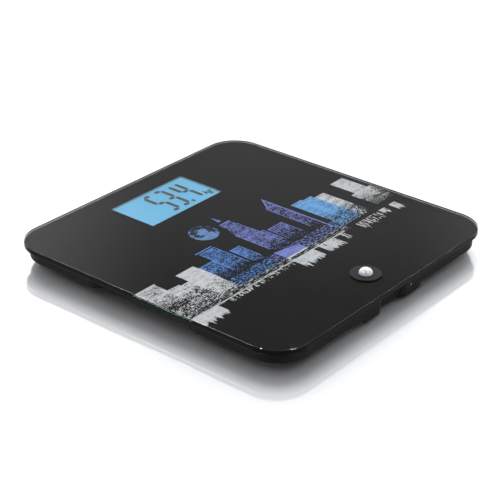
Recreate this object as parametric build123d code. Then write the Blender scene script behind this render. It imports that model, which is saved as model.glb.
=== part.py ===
from build123d import *
import os

# Glass personal scale with an approach sensor, millimetres.
# +Z up, +X to the reader's right, +Y towards the display edge.
# Origin: centre of the plate, on the floor that the feet stand on.

# ---- glass platform and what is bonded under it
PLATE_WIDTH = 300.0
PLATE_DEPTH = 300.0
PLATE_THICKNESS = 5.0
PLATE_CORNER_RADIUS = 31.0
PLATE_ARRIS = 0.5
PLATE_TOP_HEIGHT = 23.0
FILM_THICKNESS = 0.2
FILM_EDGE_SETBACK = 0.6
TAPE_THICKNESS = 0.8
TAPE_WIDTH = 3.2
TAPE_SETBACK = 1.2

# ---- display window in the film
WINDOW_WIDTH = 94.0
WINDOW_DEPTH = 51.0
WINDOW_TO_EDGE = 23.0
WINDOW_CORNER_RADIUS = 1.0

# ---- base tray
TRAY_SIDE_INSET = 4.5
TRAY_END_INSET = 2.0
TRAY_CORNER_RADIUS = 31.0
TRAY_WALL = 2.2
TRAY_FLOOR = 2.0
TRAY_GROUND_GAP = 7.6
TRAY_EDGE_ROUND = 1.2
RIM_LEDGE_WIDTH = 5.4
RIM_LEDGE_HEIGHT = 2.4
RIB_THICKNESS = 1.4
RIB_HEIGHT = 3.4
RIB_LADDER_HALF = 36.0
RIB_RUNGS = 4
RIB_FRONT_GAP = 14.0
RIB_REAR_GAP = 36.0

# ---- finger recesses: flat half length, run of each S-shaped end, depth
SIDE_RECESS_HALF = 40.0
SIDE_RECESS_RUN = 20.0
SIDE_RECESS_DEPTH = 6.5
FRONT_RECESS_HALF = 9.0
FRONT_RECESS_RUN = 12.0
FRONT_RECESS_DEPTH = 5.0

# ---- lowered front block that holds the cells and the sensor board
BLOCK_HALF_WIDTH = 37.5
BLOCK_END_RUN = 6.5
BLOCK_LENGTH = 86.0
BLOCK_SIDE_WALL = 1.8

# ---- approach sensor
SENSOR_TO_EDGE = 30.5
BEZEL_DIAMETER = 27.0
BEZEL_HEIGHT = 1.3
BEZEL_EDGE_ROUND = 0.5
BEZEL_TUBE_DIAMETER = 17.0
BEZEL_TUBE_LENGTH = 4.0
GLASS_HOLE_CLEARANCE = 0.2
LOCK_RING_DIAMETER = 25.0
LOCK_RING_THICKNESS = 1.8
LOCK_RING_CLEARANCE = 0.05
LOCK_RING_NOTCHES = 6
LOCK_RING_NOTCH = 2.4
DOME_DIAMETER = 12.0
DOME_HEIGHT = 4.7
DOME_WALL = 0.8
DOME_FLANGE = 1.1
DOME_FLANGE_THICKNESS = 1.2
DOME_CLEARANCE = 0.1
DOME_SEAT_DEPTH = 1.7
PIR_DIAMETER = 9.2
PIR_HEIGHT = 4.2
PIR_EDGE_ROUND = 0.5
PIR_BASE_DIAMETER = 10.2
PIR_BASE_THICKNESS = 0.4
PIR_WINDOW_WIDTH = 4.0
PIR_WINDOW_DEPTH = 3.0
PIR_WINDOW_SINK = 0.2

# ---- sensor board, night light and unit button
SENSOR_BOARD_WIDTH = 68.0
SENSOR_BOARD_DEPTH = 28.0
BOARD_THICKNESS = 1.2
SENSOR_BOARD_DROP = 11.2
SENSOR_BOARD_BACK = 10.5
SENSOR_SCREW_INSET = 18.0
LED_OFFSET = 27.0
LED_DROP = 11.0
LED_DIAMETER = 3.0
LED_LENGTH = 5.2
LED_CLEARANCE = 0.1
LED_RIM = 0.4
LED_RIM_THICKNESS = 0.8
LED_LEG_SPREAD = 0.9
LED_LEG_WIDTH = 0.5
LED_LEG_THICKNESS = 0.4
LED_LEG_ROOT = 0.1
LED_LEG_LAP = 2.0
BUTTON_OFFSET = 27.0
BUTTON_DIAMETER = 9.0
BUTTON_RECESS = 0.5
BUTTON_EDGE_ROUND = 0.4
BUTTON_DISH_RADIUS = 6.0
BUTTON_DISH_DEPTH = 0.4
BUTTON_CLEARANCE = 0.2
BUTTON_FLANGE = 1.3
BUTTON_FLANGE_THICKNESS = 0.8
BUTTON_POST_DIAMETER = 4.4
SWITCH_SIZE = 6.0
SWITCH_HEIGHT = 3.1
SWITCH_WELL = 2.0
PLUNGER_DIAMETER = 3.4
PLUNGER_REACH = 0.7
PLUNGER_INSIDE = 1.2
PLUNGER_CLEARANCE = 0.1

# ---- three AAA cells and their bay
CELL_DIAMETER = 10.5
CELL_LENGTH = 44.5
CELL_NUB_DIAMETER = 3.8
CELL_NUB_LENGTH = 0.8
CELL_EDGE = 0.4
CELL_COUNT = 3
CELL_GAP = 0.5
CELL_CLEARANCE = 0.3
CONTACT_THICKNESS = 0.4
CONTACT_HEIGHT = 8.0
CONTACT_SIDE_GAP = 1.0
SPRING_LENGTH = 4.4
SPRING_WIRE = 0.6
SPRING_RADIUS = 2.6
SPRING_TURNS = 3
SPRING_SLACK = 0.2
SPRING_CLEARANCE = 0.05
BAY_WALL = 1.0
BAY_ROOF = 0.7
BAY_ROOF_CLEARANCE = 0.05
BAY_FLOOR = 1.1
BAY_BOARD_GAP = 3.0

# ---- battery door, a T section that slides out backwards
DOOR_PLATE = 1.2
DOOR_TONGUE = 1.2
DOOR_TONGUE_REACH = 2.0
DOOR_SIDE_LAP = 1.4
DOOR_CLEARANCE = 0.15
DOOR_TONGUE_SETBACK = 4.0
DOOR_GRIP_GROOVES = 5
DOOR_GRIP_HALF = 11.0
DOOR_GRIP_START = 4.0
DOOR_GRIP_PITCH = 2.2
DOOR_GRIP_WIDTH = 1.0
DOOR_GRIP_DEPTH = 0.5

# ---- display stack
GASKET_THICKNESS = 1.6
GASKET_WIDTH = 4.0
GASKET_CORNER_RADIUS = 2.0
LCD_MARGIN = 3.2
LCD_THICKNESS = 2.0
POLARISER_MARGIN = 2.0
POLARISER_THICKNESS = 0.2
BACKLIGHT_THICKNESS = 2.2
BACKLIGHT_MARGIN = 0.8
ZEBRA_WIDTH = 1.6
ZEBRA_END_GAP = 2.0
MAIN_BOARD_SIDE_MARGIN = 3.8
MAIN_BOARD_END_MARGIN = 8.3
CHIP_DIAMETER = 10.0
CHIP_HEIGHT = 0.9
CHIP_EDGE_ROUND = 0.72
SOCKET_WIDTH = 6.0
SOCKET_DEPTH = 4.6
SOCKET_HEIGHT = 2.6
SOCKET_SETBACK = 0.5

# ---- screws
SCREW_DIAMETER = 2.0
SCREW_HEAD_DIAMETER = 4.0
SCREW_HEAD_HEIGHT = 1.4
SCREW_BITE = 2.4
SCREW_TIP_GAP = 0.2
SCREW_INSET = 4.2
BOSS_DIAMETER = 5.4
SCREW_CLEARANCE = 0.05
CROSS_LENGTH = 2.4
CROSS_WIDTH = 0.5
CROSS_DEPTH = 0.7

# ---- corner feet and load cells
FOOT_TO_EDGE = 42.0
FOOT_DIAMETER = 38.0
FOOT_CLEARANCE = 0.6
FOOT_WALL = 2.0
FOOT_BASE = 2.4
FOOT_FLANGE = 2.4
FOOT_FLANGE_THICKNESS = 1.0
FOOT_FLOAT = 0.8
FOOT_STEM_DIAMETER = 10.0
FOOT_EDGE = 0.8
FOOT_WEB = 1.6
PAD_THICKNESS = 2.0
PAD_SINK = 0.8
PAD_CLEARANCE = 0.1
PAD_EDGE_ROUND = 0.5
PAD_GROOVE_RADII = (8.0, 12.0)
PAD_GROOVE_WIDTH = 1.0
PAD_GROOVE_DEPTH = 0.4
PAD_TO_FOOT_EDGE = 3.0
LOAD_CELL_TO_FOOT_EDGE = 2.0
LOAD_CELL_CORNER_RADIUS = 3.0
LOAD_CELL_HOLE_INSET = 3.2
LOAD_CELL_HOLE_DIAMETER = 2.2
LOAD_CELL_THICKNESS = 1.2
LOAD_CELL_DROP = 9.6
TONGUE_WIDTH = 13.0
TONGUE_SLOT = 1.6
TONGUE_LENGTH = 22.0
GAUGE_LENGTH = 7.0
GAUGE_WIDTH = 5.0
GAUGE_THICKNESS = 0.5
HOUSING_MARGIN = 5.5
HOUSING_CORNER_RADIUS = 8.0
HOUSING_CLEARANCE = 0.1
HOUSING_RELIEF = 1.8
HOUSING_RELIEF_MARGIN = 2.0
HOUSING_SLOT = 3.0

# ---- leads
LEAD_DIAMETER = 1.8
LEAD_BEND = 4.0
LEAD_PITCH = 14.0
LEAD_LANE = 8.0
LEAD_REAR_SHIFT = 7.0
LEAD_SAG = 0.2
LEAD_INSIDE = 6.0
LEAD_RISE_START = 9.0
LEAD_RISE_END = 4.0
LEAD_SLOTS = {
    "rear_left": -2.5,
    "front_left": -1.5,
    "sensor": -0.5,
    "battery": 0.5,
    "front_right": 1.5,
    "rear_right": 2.5,
}
FRONT_LEAD_GAP = 22.0
REAR_LEAD_GAP = 15.5
CENTRE_LEAD_GAP = 28.5
CENTRE_LEAD_REACH = 24.0
BAY_LEAD_INSET = 3.0
BAY_LEAD_RISE = 1.0
BAY_LEAD_STRAIGHT = 5.0
BAY_LEAD_FOOT = 14.0
SENSOR_LEAD_GAP = 6.0
SENSOR_LEAD_LAP = 4.0
SENSOR_LEAD_STRAIGHT = 6.0
CLIP_LENGTH = 4.0
CLIP_HEIGHT = 3.0
CLIP_THICKNESS = 1.2
CLIP_CLEARANCE = 0.2

# ---- label
LABEL_WIDTH = 62.0
LABEL_DEPTH = 34.0
LABEL_CORNER_RADIUS = 2.0
LABEL_THICKNESS = 0.15
LABEL_SINK = 0.3
LABEL_CLEARANCE = 0.5

# ---- how near a point has to be to count as on a level or on a wall
LEVEL_TOLERANCE = 0.001
WALL_TOLERANCE = 0.01

# ---- levels worked out from the sizes above
GLASS_BOTTOM = PLATE_TOP_HEIGHT - PLATE_THICKNESS
FILM_BOTTOM = GLASS_BOTTOM - FILM_THICKNESS
TRAY_TOP = FILM_BOTTOM - TAPE_THICKNESS
TRAY_BOTTOM = TRAY_GROUND_GAP
FLOOR_TOP = TRAY_BOTTOM + TRAY_FLOOR
BAY_ROOF_TOP = FILM_BOTTOM - BAY_ROOF_CLEARANCE
BAY_ROOF_BOTTOM = BAY_ROOF_TOP - BAY_ROOF
CELL_Z = BAY_ROOF_BOTTOM - CELL_CLEARANCE - CELL_DIAMETER / 2
BAY_FLOOR_BOTTOM = CELL_Z - CELL_DIAMETER / 2 - CELL_CLEARANCE
BAY_FLOOR_TOP = BAY_FLOOR_BOTTOM + BAY_FLOOR
DOOR_TOP = BAY_FLOOR_BOTTOM - DOOR_CLEARANCE
BLOCK_BOTTOM = DOOR_TOP - DOOR_TONGUE - DOOR_PLATE
BLOCK_DROP = TRAY_BOTTOM - BLOCK_BOTTOM
BLOCK_FLOOR_TOP = BLOCK_BOTTOM + TRAY_FLOOR
SCREW_HOLE = SCREW_DIAMETER + 2 * SCREW_CLEARANCE
TRAY_WIDTH = PLATE_WIDTH - 2 * TRAY_SIDE_INSET
TRAY_DEPTH = PLATE_DEPTH - 2 * TRAY_END_INSET
TRAY_FRONT = -TRAY_DEPTH / 2
BLOCK_BACK = TRAY_FRONT + BLOCK_LENGTH

WINDOW_Y = PLATE_DEPTH / 2 - WINDOW_TO_EDGE - WINDOW_DEPTH / 2
SENSOR_Y = SENSOR_TO_EDGE - PLATE_DEPTH / 2
FOOT_X = PLATE_WIDTH / 2 - FOOT_TO_EDGE
FOOT_Y = PLATE_DEPTH / 2 - FOOT_TO_EDGE
CORNERS = {
    "front_left": (-FOOT_X, -FOOT_Y),
    "front_right": (FOOT_X, -FOOT_Y),
    "rear_left": (-FOOT_X, FOOT_Y),
    "rear_right": (FOOT_X, FOOT_Y),
}

GASKET_BOTTOM = FILM_BOTTOM - GASKET_THICKNESS
LCD_WIDTH = WINDOW_WIDTH + 2 * LCD_MARGIN
LCD_DEPTH = WINDOW_DEPTH + 2 * LCD_MARGIN
LCD_TOP = GASKET_BOTTOM - POLARISER_THICKNESS
LCD_BOTTOM = LCD_TOP - LCD_THICKNESS
MAIN_BOARD_WIDTH = LCD_WIDTH + 2 * MAIN_BOARD_SIDE_MARGIN
MAIN_BOARD_DEPTH = LCD_DEPTH + 2 * MAIN_BOARD_END_MARGIN
MAIN_BOARD_TOP = LCD_BOTTOM - BACKLIGHT_THICKNESS
MAIN_BOARD_BOTTOM = MAIN_BOARD_TOP - BOARD_THICKNESS
SOCKET_Y = WINDOW_Y - MAIN_BOARD_DEPTH / 2 + SOCKET_DEPTH / 2 + SOCKET_SETBACK
SOCKET_FRONT = SOCKET_Y - SOCKET_DEPTH / 2

BEZEL_TOP = PLATE_TOP_HEIGHT + BEZEL_HEIGHT
BEZEL_TUBE_END = GLASS_BOTTOM - BEZEL_TUBE_LENGTH
DOME_SHOULDER = BEZEL_TOP - DOME_SEAT_DEPTH
GLASS_HOLE_DIAMETER = BEZEL_TUBE_DIAMETER + 2 * GLASS_HOLE_CLEARANCE
DOME_FLANGE_DIAMETER = DOME_DIAMETER + 2 * DOME_FLANGE
SENSOR_BOARD_TOP = PLATE_TOP_HEIGHT - SENSOR_BOARD_DROP
SENSOR_BOARD_BOTTOM = SENSOR_BOARD_TOP - BOARD_THICKNESS
SENSOR_BOARD_FRONT = SENSOR_Y + SENSOR_BOARD_BACK - SENSOR_BOARD_DEPTH
SENSOR_SCREW_X = SENSOR_BOARD_WIDTH / 2 - SENSOR_SCREW_INSET
SENSOR_SCREW_Y = SENSOR_Y + SENSOR_BOARD_BACK - SCREW_INSET
SWITCH_BOTTOM = SENSOR_BOARD_BOTTOM - SWITCH_HEIGHT

CELL_PITCH = CELL_DIAMETER + CELL_GAP
BAY_LENGTH = CELL_LENGTH + SPRING_LENGTH + 2 * CONTACT_THICKNESS + CELL_CLEARANCE
BAY_DEPTH = CELL_COUNT * CELL_PITCH + CELL_GAP
BAY_FRONT = SENSOR_Y + SENSOR_BOARD_BACK + BAY_BOARD_GAP
BAY_Y = BAY_FRONT + BAY_WALL + BAY_DEPTH / 2
DOOR_HALF = BAY_LENGTH / 2 + DOOR_SIDE_LAP
DOOR_FRONT = BAY_FRONT - DOOR_TONGUE_REACH
DOOR_BACK = BLOCK_BACK
RAIL_HALF = DOOR_HALF + DOOR_TONGUE_REACH + DOOR_CLEARANCE + TRAY_WALL

PAD_DIAMETER = FOOT_DIAMETER - 2 * PAD_TO_FOOT_EDGE
LOAD_CELL_SIZE = FOOT_DIAMETER - 2 * LOAD_CELL_TO_FOOT_EDGE
LOAD_CELL_TOP = PLATE_TOP_HEIGHT - LOAD_CELL_DROP
LOAD_CELL_BOTTOM = LOAD_CELL_TOP - LOAD_CELL_THICKNESS
FLANGE_BOTTOM = FLOOR_TOP + FOOT_FLOAT
FLANGE_TOP = FLANGE_BOTTOM + FOOT_FLANGE_THICKNESS
FOOT_BOTTOM = PAD_THICKNESS - PAD_SINK
HOUSING_SIZE = LOAD_CELL_SIZE + 2 * HOUSING_MARGIN
RELIEF_SIZE = TONGUE_LENGTH + 2 * HOUSING_RELIEF_MARGIN
LEAD_Z = FLOOR_TOP + LEAD_DIAMETER / 2
SOCKET_LEAD_Z = MAIN_BOARD_TOP + SOCKET_HEIGHT / 2


def block(x0, x1, y0, y1, z0, z1):
    """A plain box between two corners."""
    solid = Box(x1 - x0, y1 - y0, z1 - z0)
    return Pos((x0 + x1) / 2, (y0 + y1) / 2, (z0 + z1) / 2) * solid


def rod(diameter, x, y, z0, z1):
    """An upright round bar."""
    return Pos(x, y, (z0 + z1) / 2) * Cylinder(diameter / 2, z1 - z0)


def prism(face, z0, z1):
    """A flat outline raised between two levels."""
    return Pos(0, 0, z0) * extrude(face, z1 - z0)


def edges_at(solid, level):
    """The edges that lie flat at one level."""
    return solid.edges().filter_by_position(Axis.Z, level - LEVEL_TOLERANCE, level + LEVEL_TOLERANCE)


def group(solids):
    """Separate solids kept together as one piece."""
    return Compound(children=list(solids))


def s_bend(start, end, along):
    """Two equal tangent arcs from start to end, leaving and arriving parallel to along."""
    middle = (Vector(*start) + Vector(*end)) * 0.5
    first = TangentArc([start, middle], tangent=along)
    second = TangentArc([middle, end], tangent=first % 1)
    return [first, second]


def recess_outline(half, run, depth, reach):
    """A shallow bay in a straight wall that lies on the X axis, opening towards -Y."""
    outer = half + run
    edges = s_bend((-outer, 0), (-half, depth), (1, 0))
    edges.append(Line((-half, depth), (half, depth)))
    edges += s_bend((half, depth), (outer, 0), (1, 0))
    edges.append(Polyline((outer, 0), (outer, -reach), (-outer, -reach), (-outer, 0)))
    return make_face(edges)


def tray_outline():
    """The tray's plan: a rounded rectangle with a finger recess in both sides and the front."""
    plan = RectangleRounded(TRAY_WIDTH, TRAY_DEPTH, TRAY_CORNER_RADIUS)
    side = recess_outline(SIDE_RECESS_HALF, SIDE_RECESS_RUN, SIDE_RECESS_DEPTH, TRAY_SIDE_INSET)
    front = recess_outline(FRONT_RECESS_HALF, FRONT_RECESS_RUN, FRONT_RECESS_DEPTH, TRAY_SIDE_INSET)
    plan -= Pos(-TRAY_WIDTH / 2, 0) * Rot(0, 0, -90) * side
    plan -= Pos(TRAY_WIDTH / 2, 0) * Rot(0, 0, 90) * side
    plan -= Pos(0, TRAY_FRONT) * front
    return plan


def lowered_block():
    """The ogee-ended body that hangs under the tray's front half."""
    outer = BLOCK_HALF_WIDTH + BLOCK_END_RUN
    edges = s_bend((-outer, TRAY_BOTTOM), (-BLOCK_HALF_WIDTH, BLOCK_BOTTOM), (1, 0))
    edges.append(Line((-BLOCK_HALF_WIDTH, BLOCK_BOTTOM), (BLOCK_HALF_WIDTH, BLOCK_BOTTOM)))
    edges += s_bend((BLOCK_HALF_WIDTH, BLOCK_BOTTOM), (outer, TRAY_BOTTOM), (1, 0))
    top = [(outer, TRAY_BOTTOM), (outer, FLOOR_TOP), (-outer, FLOOR_TOP), (-outer, TRAY_BOTTOM)]
    edges.append(Polyline(*top))
    section = Plane.XZ * make_face(edges)
    return Pos(0, TRAY_FRONT + BLOCK_LENGTH / 2, 0) * extrude(section, BLOCK_LENGTH / 2, both=True)


def bottom_perimeter(solid, plan):
    """The outer wall's lower edges, along the skirt and down round the block."""
    outline = plan.face().outer_wire()
    chosen = []
    for edge in solid.edges():
        middle = edge @ 0.5
        low = middle.Z < TRAY_BOTTOM + WALL_TOLERANCE
        upright = abs((edge @ 0).Z - (edge @ 1).Z) > BLOCK_DROP - WALL_TOLERANCE
        on_wall = outline.distance_to(Vertex(middle.X, middle.Y, 0)) < WALL_TOLERANCE
        if low and on_wall and not upright:
            chosen.append(edge)
    return chosen


def main_board_screw_places():
    """Centres of the four screws that hold the main board."""
    reach_x = MAIN_BOARD_WIDTH / 2 - SCREW_INSET
    reach_y = MAIN_BOARD_DEPTH / 2 - SCREW_INSET
    return [(sx * reach_x, WINDOW_Y + sy * reach_y) for sx in (-1, 1) for sy in (-1, 1)]


def sensor_board_screw_places():
    """Centres of the two screws that hold the sensor board."""
    return [(sx * SENSOR_SCREW_X, SENSOR_SCREW_Y) for sx in (-1, 1)]


def glass_platform():
    plan = RectangleRounded(PLATE_WIDTH, PLATE_DEPTH, PLATE_CORNER_RADIUS)
    plate = prism(plan, GLASS_BOTTOM, PLATE_TOP_HEIGHT)
    plate = chamfer(edges_at(plate, PLATE_TOP_HEIGHT) + edges_at(plate, GLASS_BOTTOM), PLATE_ARRIS)
    return plate - rod(GLASS_HOLE_DIAMETER, 0, SENSOR_Y, GLASS_BOTTOM, PLATE_TOP_HEIGHT)


def backprint_film():
    width = PLATE_WIDTH - 2 * FILM_EDGE_SETBACK
    depth = PLATE_DEPTH - 2 * FILM_EDGE_SETBACK
    plan = RectangleRounded(width, depth, PLATE_CORNER_RADIUS - FILM_EDGE_SETBACK)
    plan -= Pos(0, WINDOW_Y) * RectangleRounded(WINDOW_WIDTH, WINDOW_DEPTH, WINDOW_CORNER_RADIUS)
    plan -= Pos(0, SENSOR_Y) * Circle(GLASS_HOLE_DIAMETER / 2)
    return prism(plan, FILM_BOTTOM, GLASS_BOTTOM)


def foam_tape(plan):
    outer = offset(plan, -TAPE_SETBACK)
    inner = offset(plan, -TAPE_SETBACK - TAPE_WIDTH)
    return prism(outer - inner, TRAY_TOP, FILM_BOTTOM)


def lead_clip(x, y):
    """A pair of posts either side of a lead that runs front to back."""
    gap = LEAD_DIAMETER / 2 + CLIP_CLEARANCE
    reach = gap + CLIP_THICKNESS
    low = y - CLIP_LENGTH / 2
    high = y + CLIP_LENGTH / 2
    top = FLOOR_TOP + CLIP_HEIGHT
    return [
        block(x - reach, x - gap, low, high, FLOOR_TOP, top),
        block(x + gap, x + reach, low, high, FLOOR_TOP, top),
    ]


def tray_ribs():
    """A ladder of stiffening ribs in the middle of the floor."""
    half = RIB_THICKNESS / 2
    top = FLOOR_TOP + RIB_HEIGHT
    y_low = BLOCK_BACK + RIB_FRONT_GAP
    y_high = SOCKET_Y - RIB_REAR_GAP
    ribs = []
    for x in (-RIB_LADDER_HALF, RIB_LADDER_HALF):
        ribs.append(block(x - half, x + half, y_low, y_high, FLOOR_TOP, top))
    for step in range(RIB_RUNGS):
        y = y_low + (y_high - y_low) * (step + 0.5) / RIB_RUNGS
        ribs.append(block(-RIB_LADDER_HALF, RIB_LADDER_HALF, y - half, y + half, FLOOR_TOP, top))
    return ribs


def base_tray(plan):
    outer = prism(plan, TRAY_BOTTOM, TRAY_TOP)
    outer += lowered_block() & prism(plan, BLOCK_BOTTOM, FLOOR_TOP)
    outer = fillet(bottom_perimeter(outer, plan), TRAY_EDGE_ROUND)

    inside = offset(plan, -TRAY_WALL)
    hollow = prism(inside, FLOOR_TOP, TRAY_TOP - RIM_LEDGE_HEIGHT)
    hollow += prism(offset(plan, -RIM_LEDGE_WIDTH), TRAY_TOP - RIM_LEDGE_HEIGHT, TRAY_TOP)
    half = BLOCK_HALF_WIDTH - BLOCK_SIDE_WALL
    pit = block(-half, half, TRAY_FRONT, BLOCK_BACK - TRAY_WALL, BLOCK_FLOOR_TOP, FLOOR_TOP)
    hollow += pit & prism(inside, BLOCK_FLOOR_TOP, FLOOR_TOP)
    tray = outer - hollow

    # thick floor under the cells, with the door's channel and the way in for the cells
    tray += block(-RAIL_HALF, RAIL_HALF, DOOR_FRONT - TRAY_WALL, BLOCK_BACK, BLOCK_BOTTOM, BAY_FLOOR_TOP)
    slot_half = DOOR_HALF + DOOR_CLEARANCE
    tongue_half = slot_half + DOOR_TONGUE_REACH
    tongue_bottom = BLOCK_BOTTOM + DOOR_PLATE - DOOR_CLEARANCE
    slot_front = DOOR_FRONT - DOOR_CLEARANCE
    tray -= block(-slot_half, slot_half, slot_front, BLOCK_BACK, BLOCK_BOTTOM, BAY_FLOOR_BOTTOM)
    tray -= block(-tongue_half, tongue_half, slot_front, BLOCK_BACK, tongue_bottom, BAY_FLOOR_BOTTOM)
    bay_half = BAY_LENGTH / 2
    bay_low = BAY_Y - BAY_DEPTH / 2
    bay_high = BAY_Y + BAY_DEPTH / 2
    tray -= block(-bay_half, bay_half, bay_low, bay_high, BAY_FLOOR_BOTTOM, BAY_FLOOR_TOP)

    adds = tray_ribs()
    for x, y in main_board_screw_places():
        adds.append(rod(BOSS_DIAMETER, x, y, FLOOR_TOP, MAIN_BOARD_BOTTOM))
    for x, y in sensor_board_screw_places():
        adds.append(rod(BOSS_DIAMETER, x, y, BLOCK_FLOOR_TOP, SENSOR_BOARD_BOTTOM))
    for side in (-1, 1):
        lane = side * (FOOT_X - HOUSING_SIZE / 2 - LEAD_LANE)
        adds += lead_clip(lane, -FOOT_Y / 2)
        adds += lead_clip(lane, 0)
    tray += adds

    cuts = []
    for x, y in CORNERS.values():
        cuts.append(rod(FOOT_DIAMETER + 2 * FOOT_CLEARANCE, x, y, TRAY_BOTTOM, FLOOR_TOP))
    for x, y in main_board_screw_places():
        cuts.append(rod(SCREW_HOLE, x, y, MAIN_BOARD_BOTTOM - SCREW_BITE, MAIN_BOARD_BOTTOM))
    for x, y in sensor_board_screw_places():
        cuts.append(rod(SCREW_HOLE, x, y, SENSOR_BOARD_BOTTOM - SCREW_BITE, SENSOR_BOARD_BOTTOM))
    button_hole = BUTTON_DIAMETER + 2 * BUTTON_CLEARANCE
    cuts.append(rod(button_hole, -BUTTON_OFFSET, SENSOR_Y, BLOCK_BOTTOM, BLOCK_FLOOR_TOP))
    led_hole = Rot(90, 0, 0) * Cylinder(LED_DIAMETER / 2 + LED_CLEARANCE, 2 * TRAY_WALL)
    cuts.append(Pos(LED_OFFSET, TRAY_FRONT + TRAY_WALL / 2, PLATE_TOP_HEIGHT - LED_DROP) * led_hole)
    half_x = LABEL_WIDTH / 2 + LABEL_CLEARANCE
    half_y = LABEL_DEPTH / 2 + LABEL_CLEARANCE
    cuts.append(block(-half_x, half_x, -half_y, half_y, TRAY_BOTTOM, TRAY_BOTTOM + LABEL_SINK))
    return tray - cuts


def rating_label():
    top = TRAY_BOTTOM + LABEL_SINK
    plan = RectangleRounded(LABEL_WIDTH, LABEL_DEPTH, LABEL_CORNER_RADIUS)
    return prism(plan, top - LABEL_THICKNESS, top)


def sensor_bezel():
    flange = rod(BEZEL_DIAMETER, 0, SENSOR_Y, PLATE_TOP_HEIGHT, BEZEL_TOP)
    flange = fillet(edges_at(flange, BEZEL_TOP), BEZEL_EDGE_ROUND)
    body = flange + rod(BEZEL_TUBE_DIAMETER, 0, SENSOR_Y, BEZEL_TUBE_END, PLATE_TOP_HEIGHT)
    body -= rod(DOME_DIAMETER + 2 * DOME_CLEARANCE, 0, SENSOR_Y, DOME_SHOULDER, BEZEL_TOP)
    flange_seat = DOME_FLANGE_DIAMETER + 2 * DOME_CLEARANCE
    return body - rod(flange_seat, 0, SENSOR_Y, BEZEL_TUBE_END, DOME_SHOULDER)


def sensor_lock_ring():
    bottom = FILM_BOTTOM - LOCK_RING_THICKNESS
    ring = rod(LOCK_RING_DIAMETER, 0, SENSOR_Y, bottom, FILM_BOTTOM)
    ring -= rod(BEZEL_TUBE_DIAMETER + 2 * LOCK_RING_CLEARANCE, 0, SENSOR_Y, bottom, FILM_BOTTOM)
    notch = Box(LOCK_RING_NOTCH, LOCK_RING_NOTCH, LOCK_RING_THICKNESS)
    notch = Pos(LOCK_RING_DIAMETER / 2, 0, (bottom + FILM_BOTTOM) / 2) * notch
    for step in range(LOCK_RING_NOTCHES):
        spin = Rot(0, 0, step * 360 / LOCK_RING_NOTCHES)
        ring -= Pos(0, SENSOR_Y, 0) * spin * notch
    return ring


def dome_shape(radius, rise):
    """Half of an ellipsoid as a solid of revolution, flat side down at z = 0."""
    arc = EllipticalCenterArc((0, 0), radius, rise, start_angle=0, arc_size=90)
    outline = [arc, Line((0, rise), (0, 0)), Line((0, 0), (radius, 0))]
    return revolve(Plane.XZ * make_face(outline), Axis.Z)


def sensor_dome():
    outer = rod(DOME_DIAMETER, 0, SENSOR_Y, DOME_SHOULDER, BEZEL_TOP)
    outer += Pos(0, SENSOR_Y, BEZEL_TOP) * dome_shape(DOME_DIAMETER / 2, DOME_HEIGHT)
    outer += rod(DOME_FLANGE_DIAMETER, 0, SENSOR_Y, DOME_SHOULDER - DOME_FLANGE_THICKNESS, DOME_SHOULDER)
    hollow_bottom = DOME_SHOULDER - DOME_FLANGE_THICKNESS
    inner = rod(DOME_DIAMETER - 2 * DOME_WALL, 0, SENSOR_Y, hollow_bottom, BEZEL_TOP)
    inner += Pos(0, SENSOR_Y, BEZEL_TOP) * dome_shape(DOME_DIAMETER / 2 - DOME_WALL, DOME_HEIGHT - DOME_WALL)
    return outer - inner


def motion_sensor_can():
    can = rod(PIR_DIAMETER, 0, SENSOR_Y, SENSOR_BOARD_TOP, SENSOR_BOARD_TOP + PIR_HEIGHT)
    can = fillet(edges_at(can, SENSOR_BOARD_TOP + PIR_HEIGHT), PIR_EDGE_ROUND)
    can += rod(PIR_BASE_DIAMETER, 0, SENSOR_Y, SENSOR_BOARD_TOP, SENSOR_BOARD_TOP + PIR_BASE_THICKNESS)
    window = Box(PIR_WINDOW_WIDTH, PIR_WINDOW_DEPTH, 2 * PIR_WINDOW_SINK)
    return can - Pos(0, SENSOR_Y, SENSOR_BOARD_TOP + PIR_HEIGHT) * window


def screw(x, y, seat):
    """A small pan-head screw with a cross recess, its head seated at the given level."""
    body = rod(SCREW_HEAD_DIAMETER, x, y, seat, seat + SCREW_HEAD_HEIGHT)
    body += rod(SCREW_DIAMETER, x, y, seat - BOARD_THICKNESS - SCREW_BITE + SCREW_TIP_GAP, seat)
    top = seat + SCREW_HEAD_HEIGHT - CROSS_DEPTH / 2
    for turn in (0, 90):
        body -= Pos(x, y, top) * Rot(0, 0, turn) * Box(CROSS_LENGTH, CROSS_WIDTH, CROSS_DEPTH)
    return body


def sensor_board():
    half = SENSOR_BOARD_WIDTH / 2
    back = SENSOR_BOARD_FRONT + SENSOR_BOARD_DEPTH
    board = block(-half, half, SENSOR_BOARD_FRONT, back, SENSOR_BOARD_BOTTOM, SENSOR_BOARD_TOP)
    for x, y in sensor_board_screw_places():
        board -= rod(SCREW_HOLE, x, y, SENSOR_BOARD_BOTTOM, SENSOR_BOARD_TOP)
    return board


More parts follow.
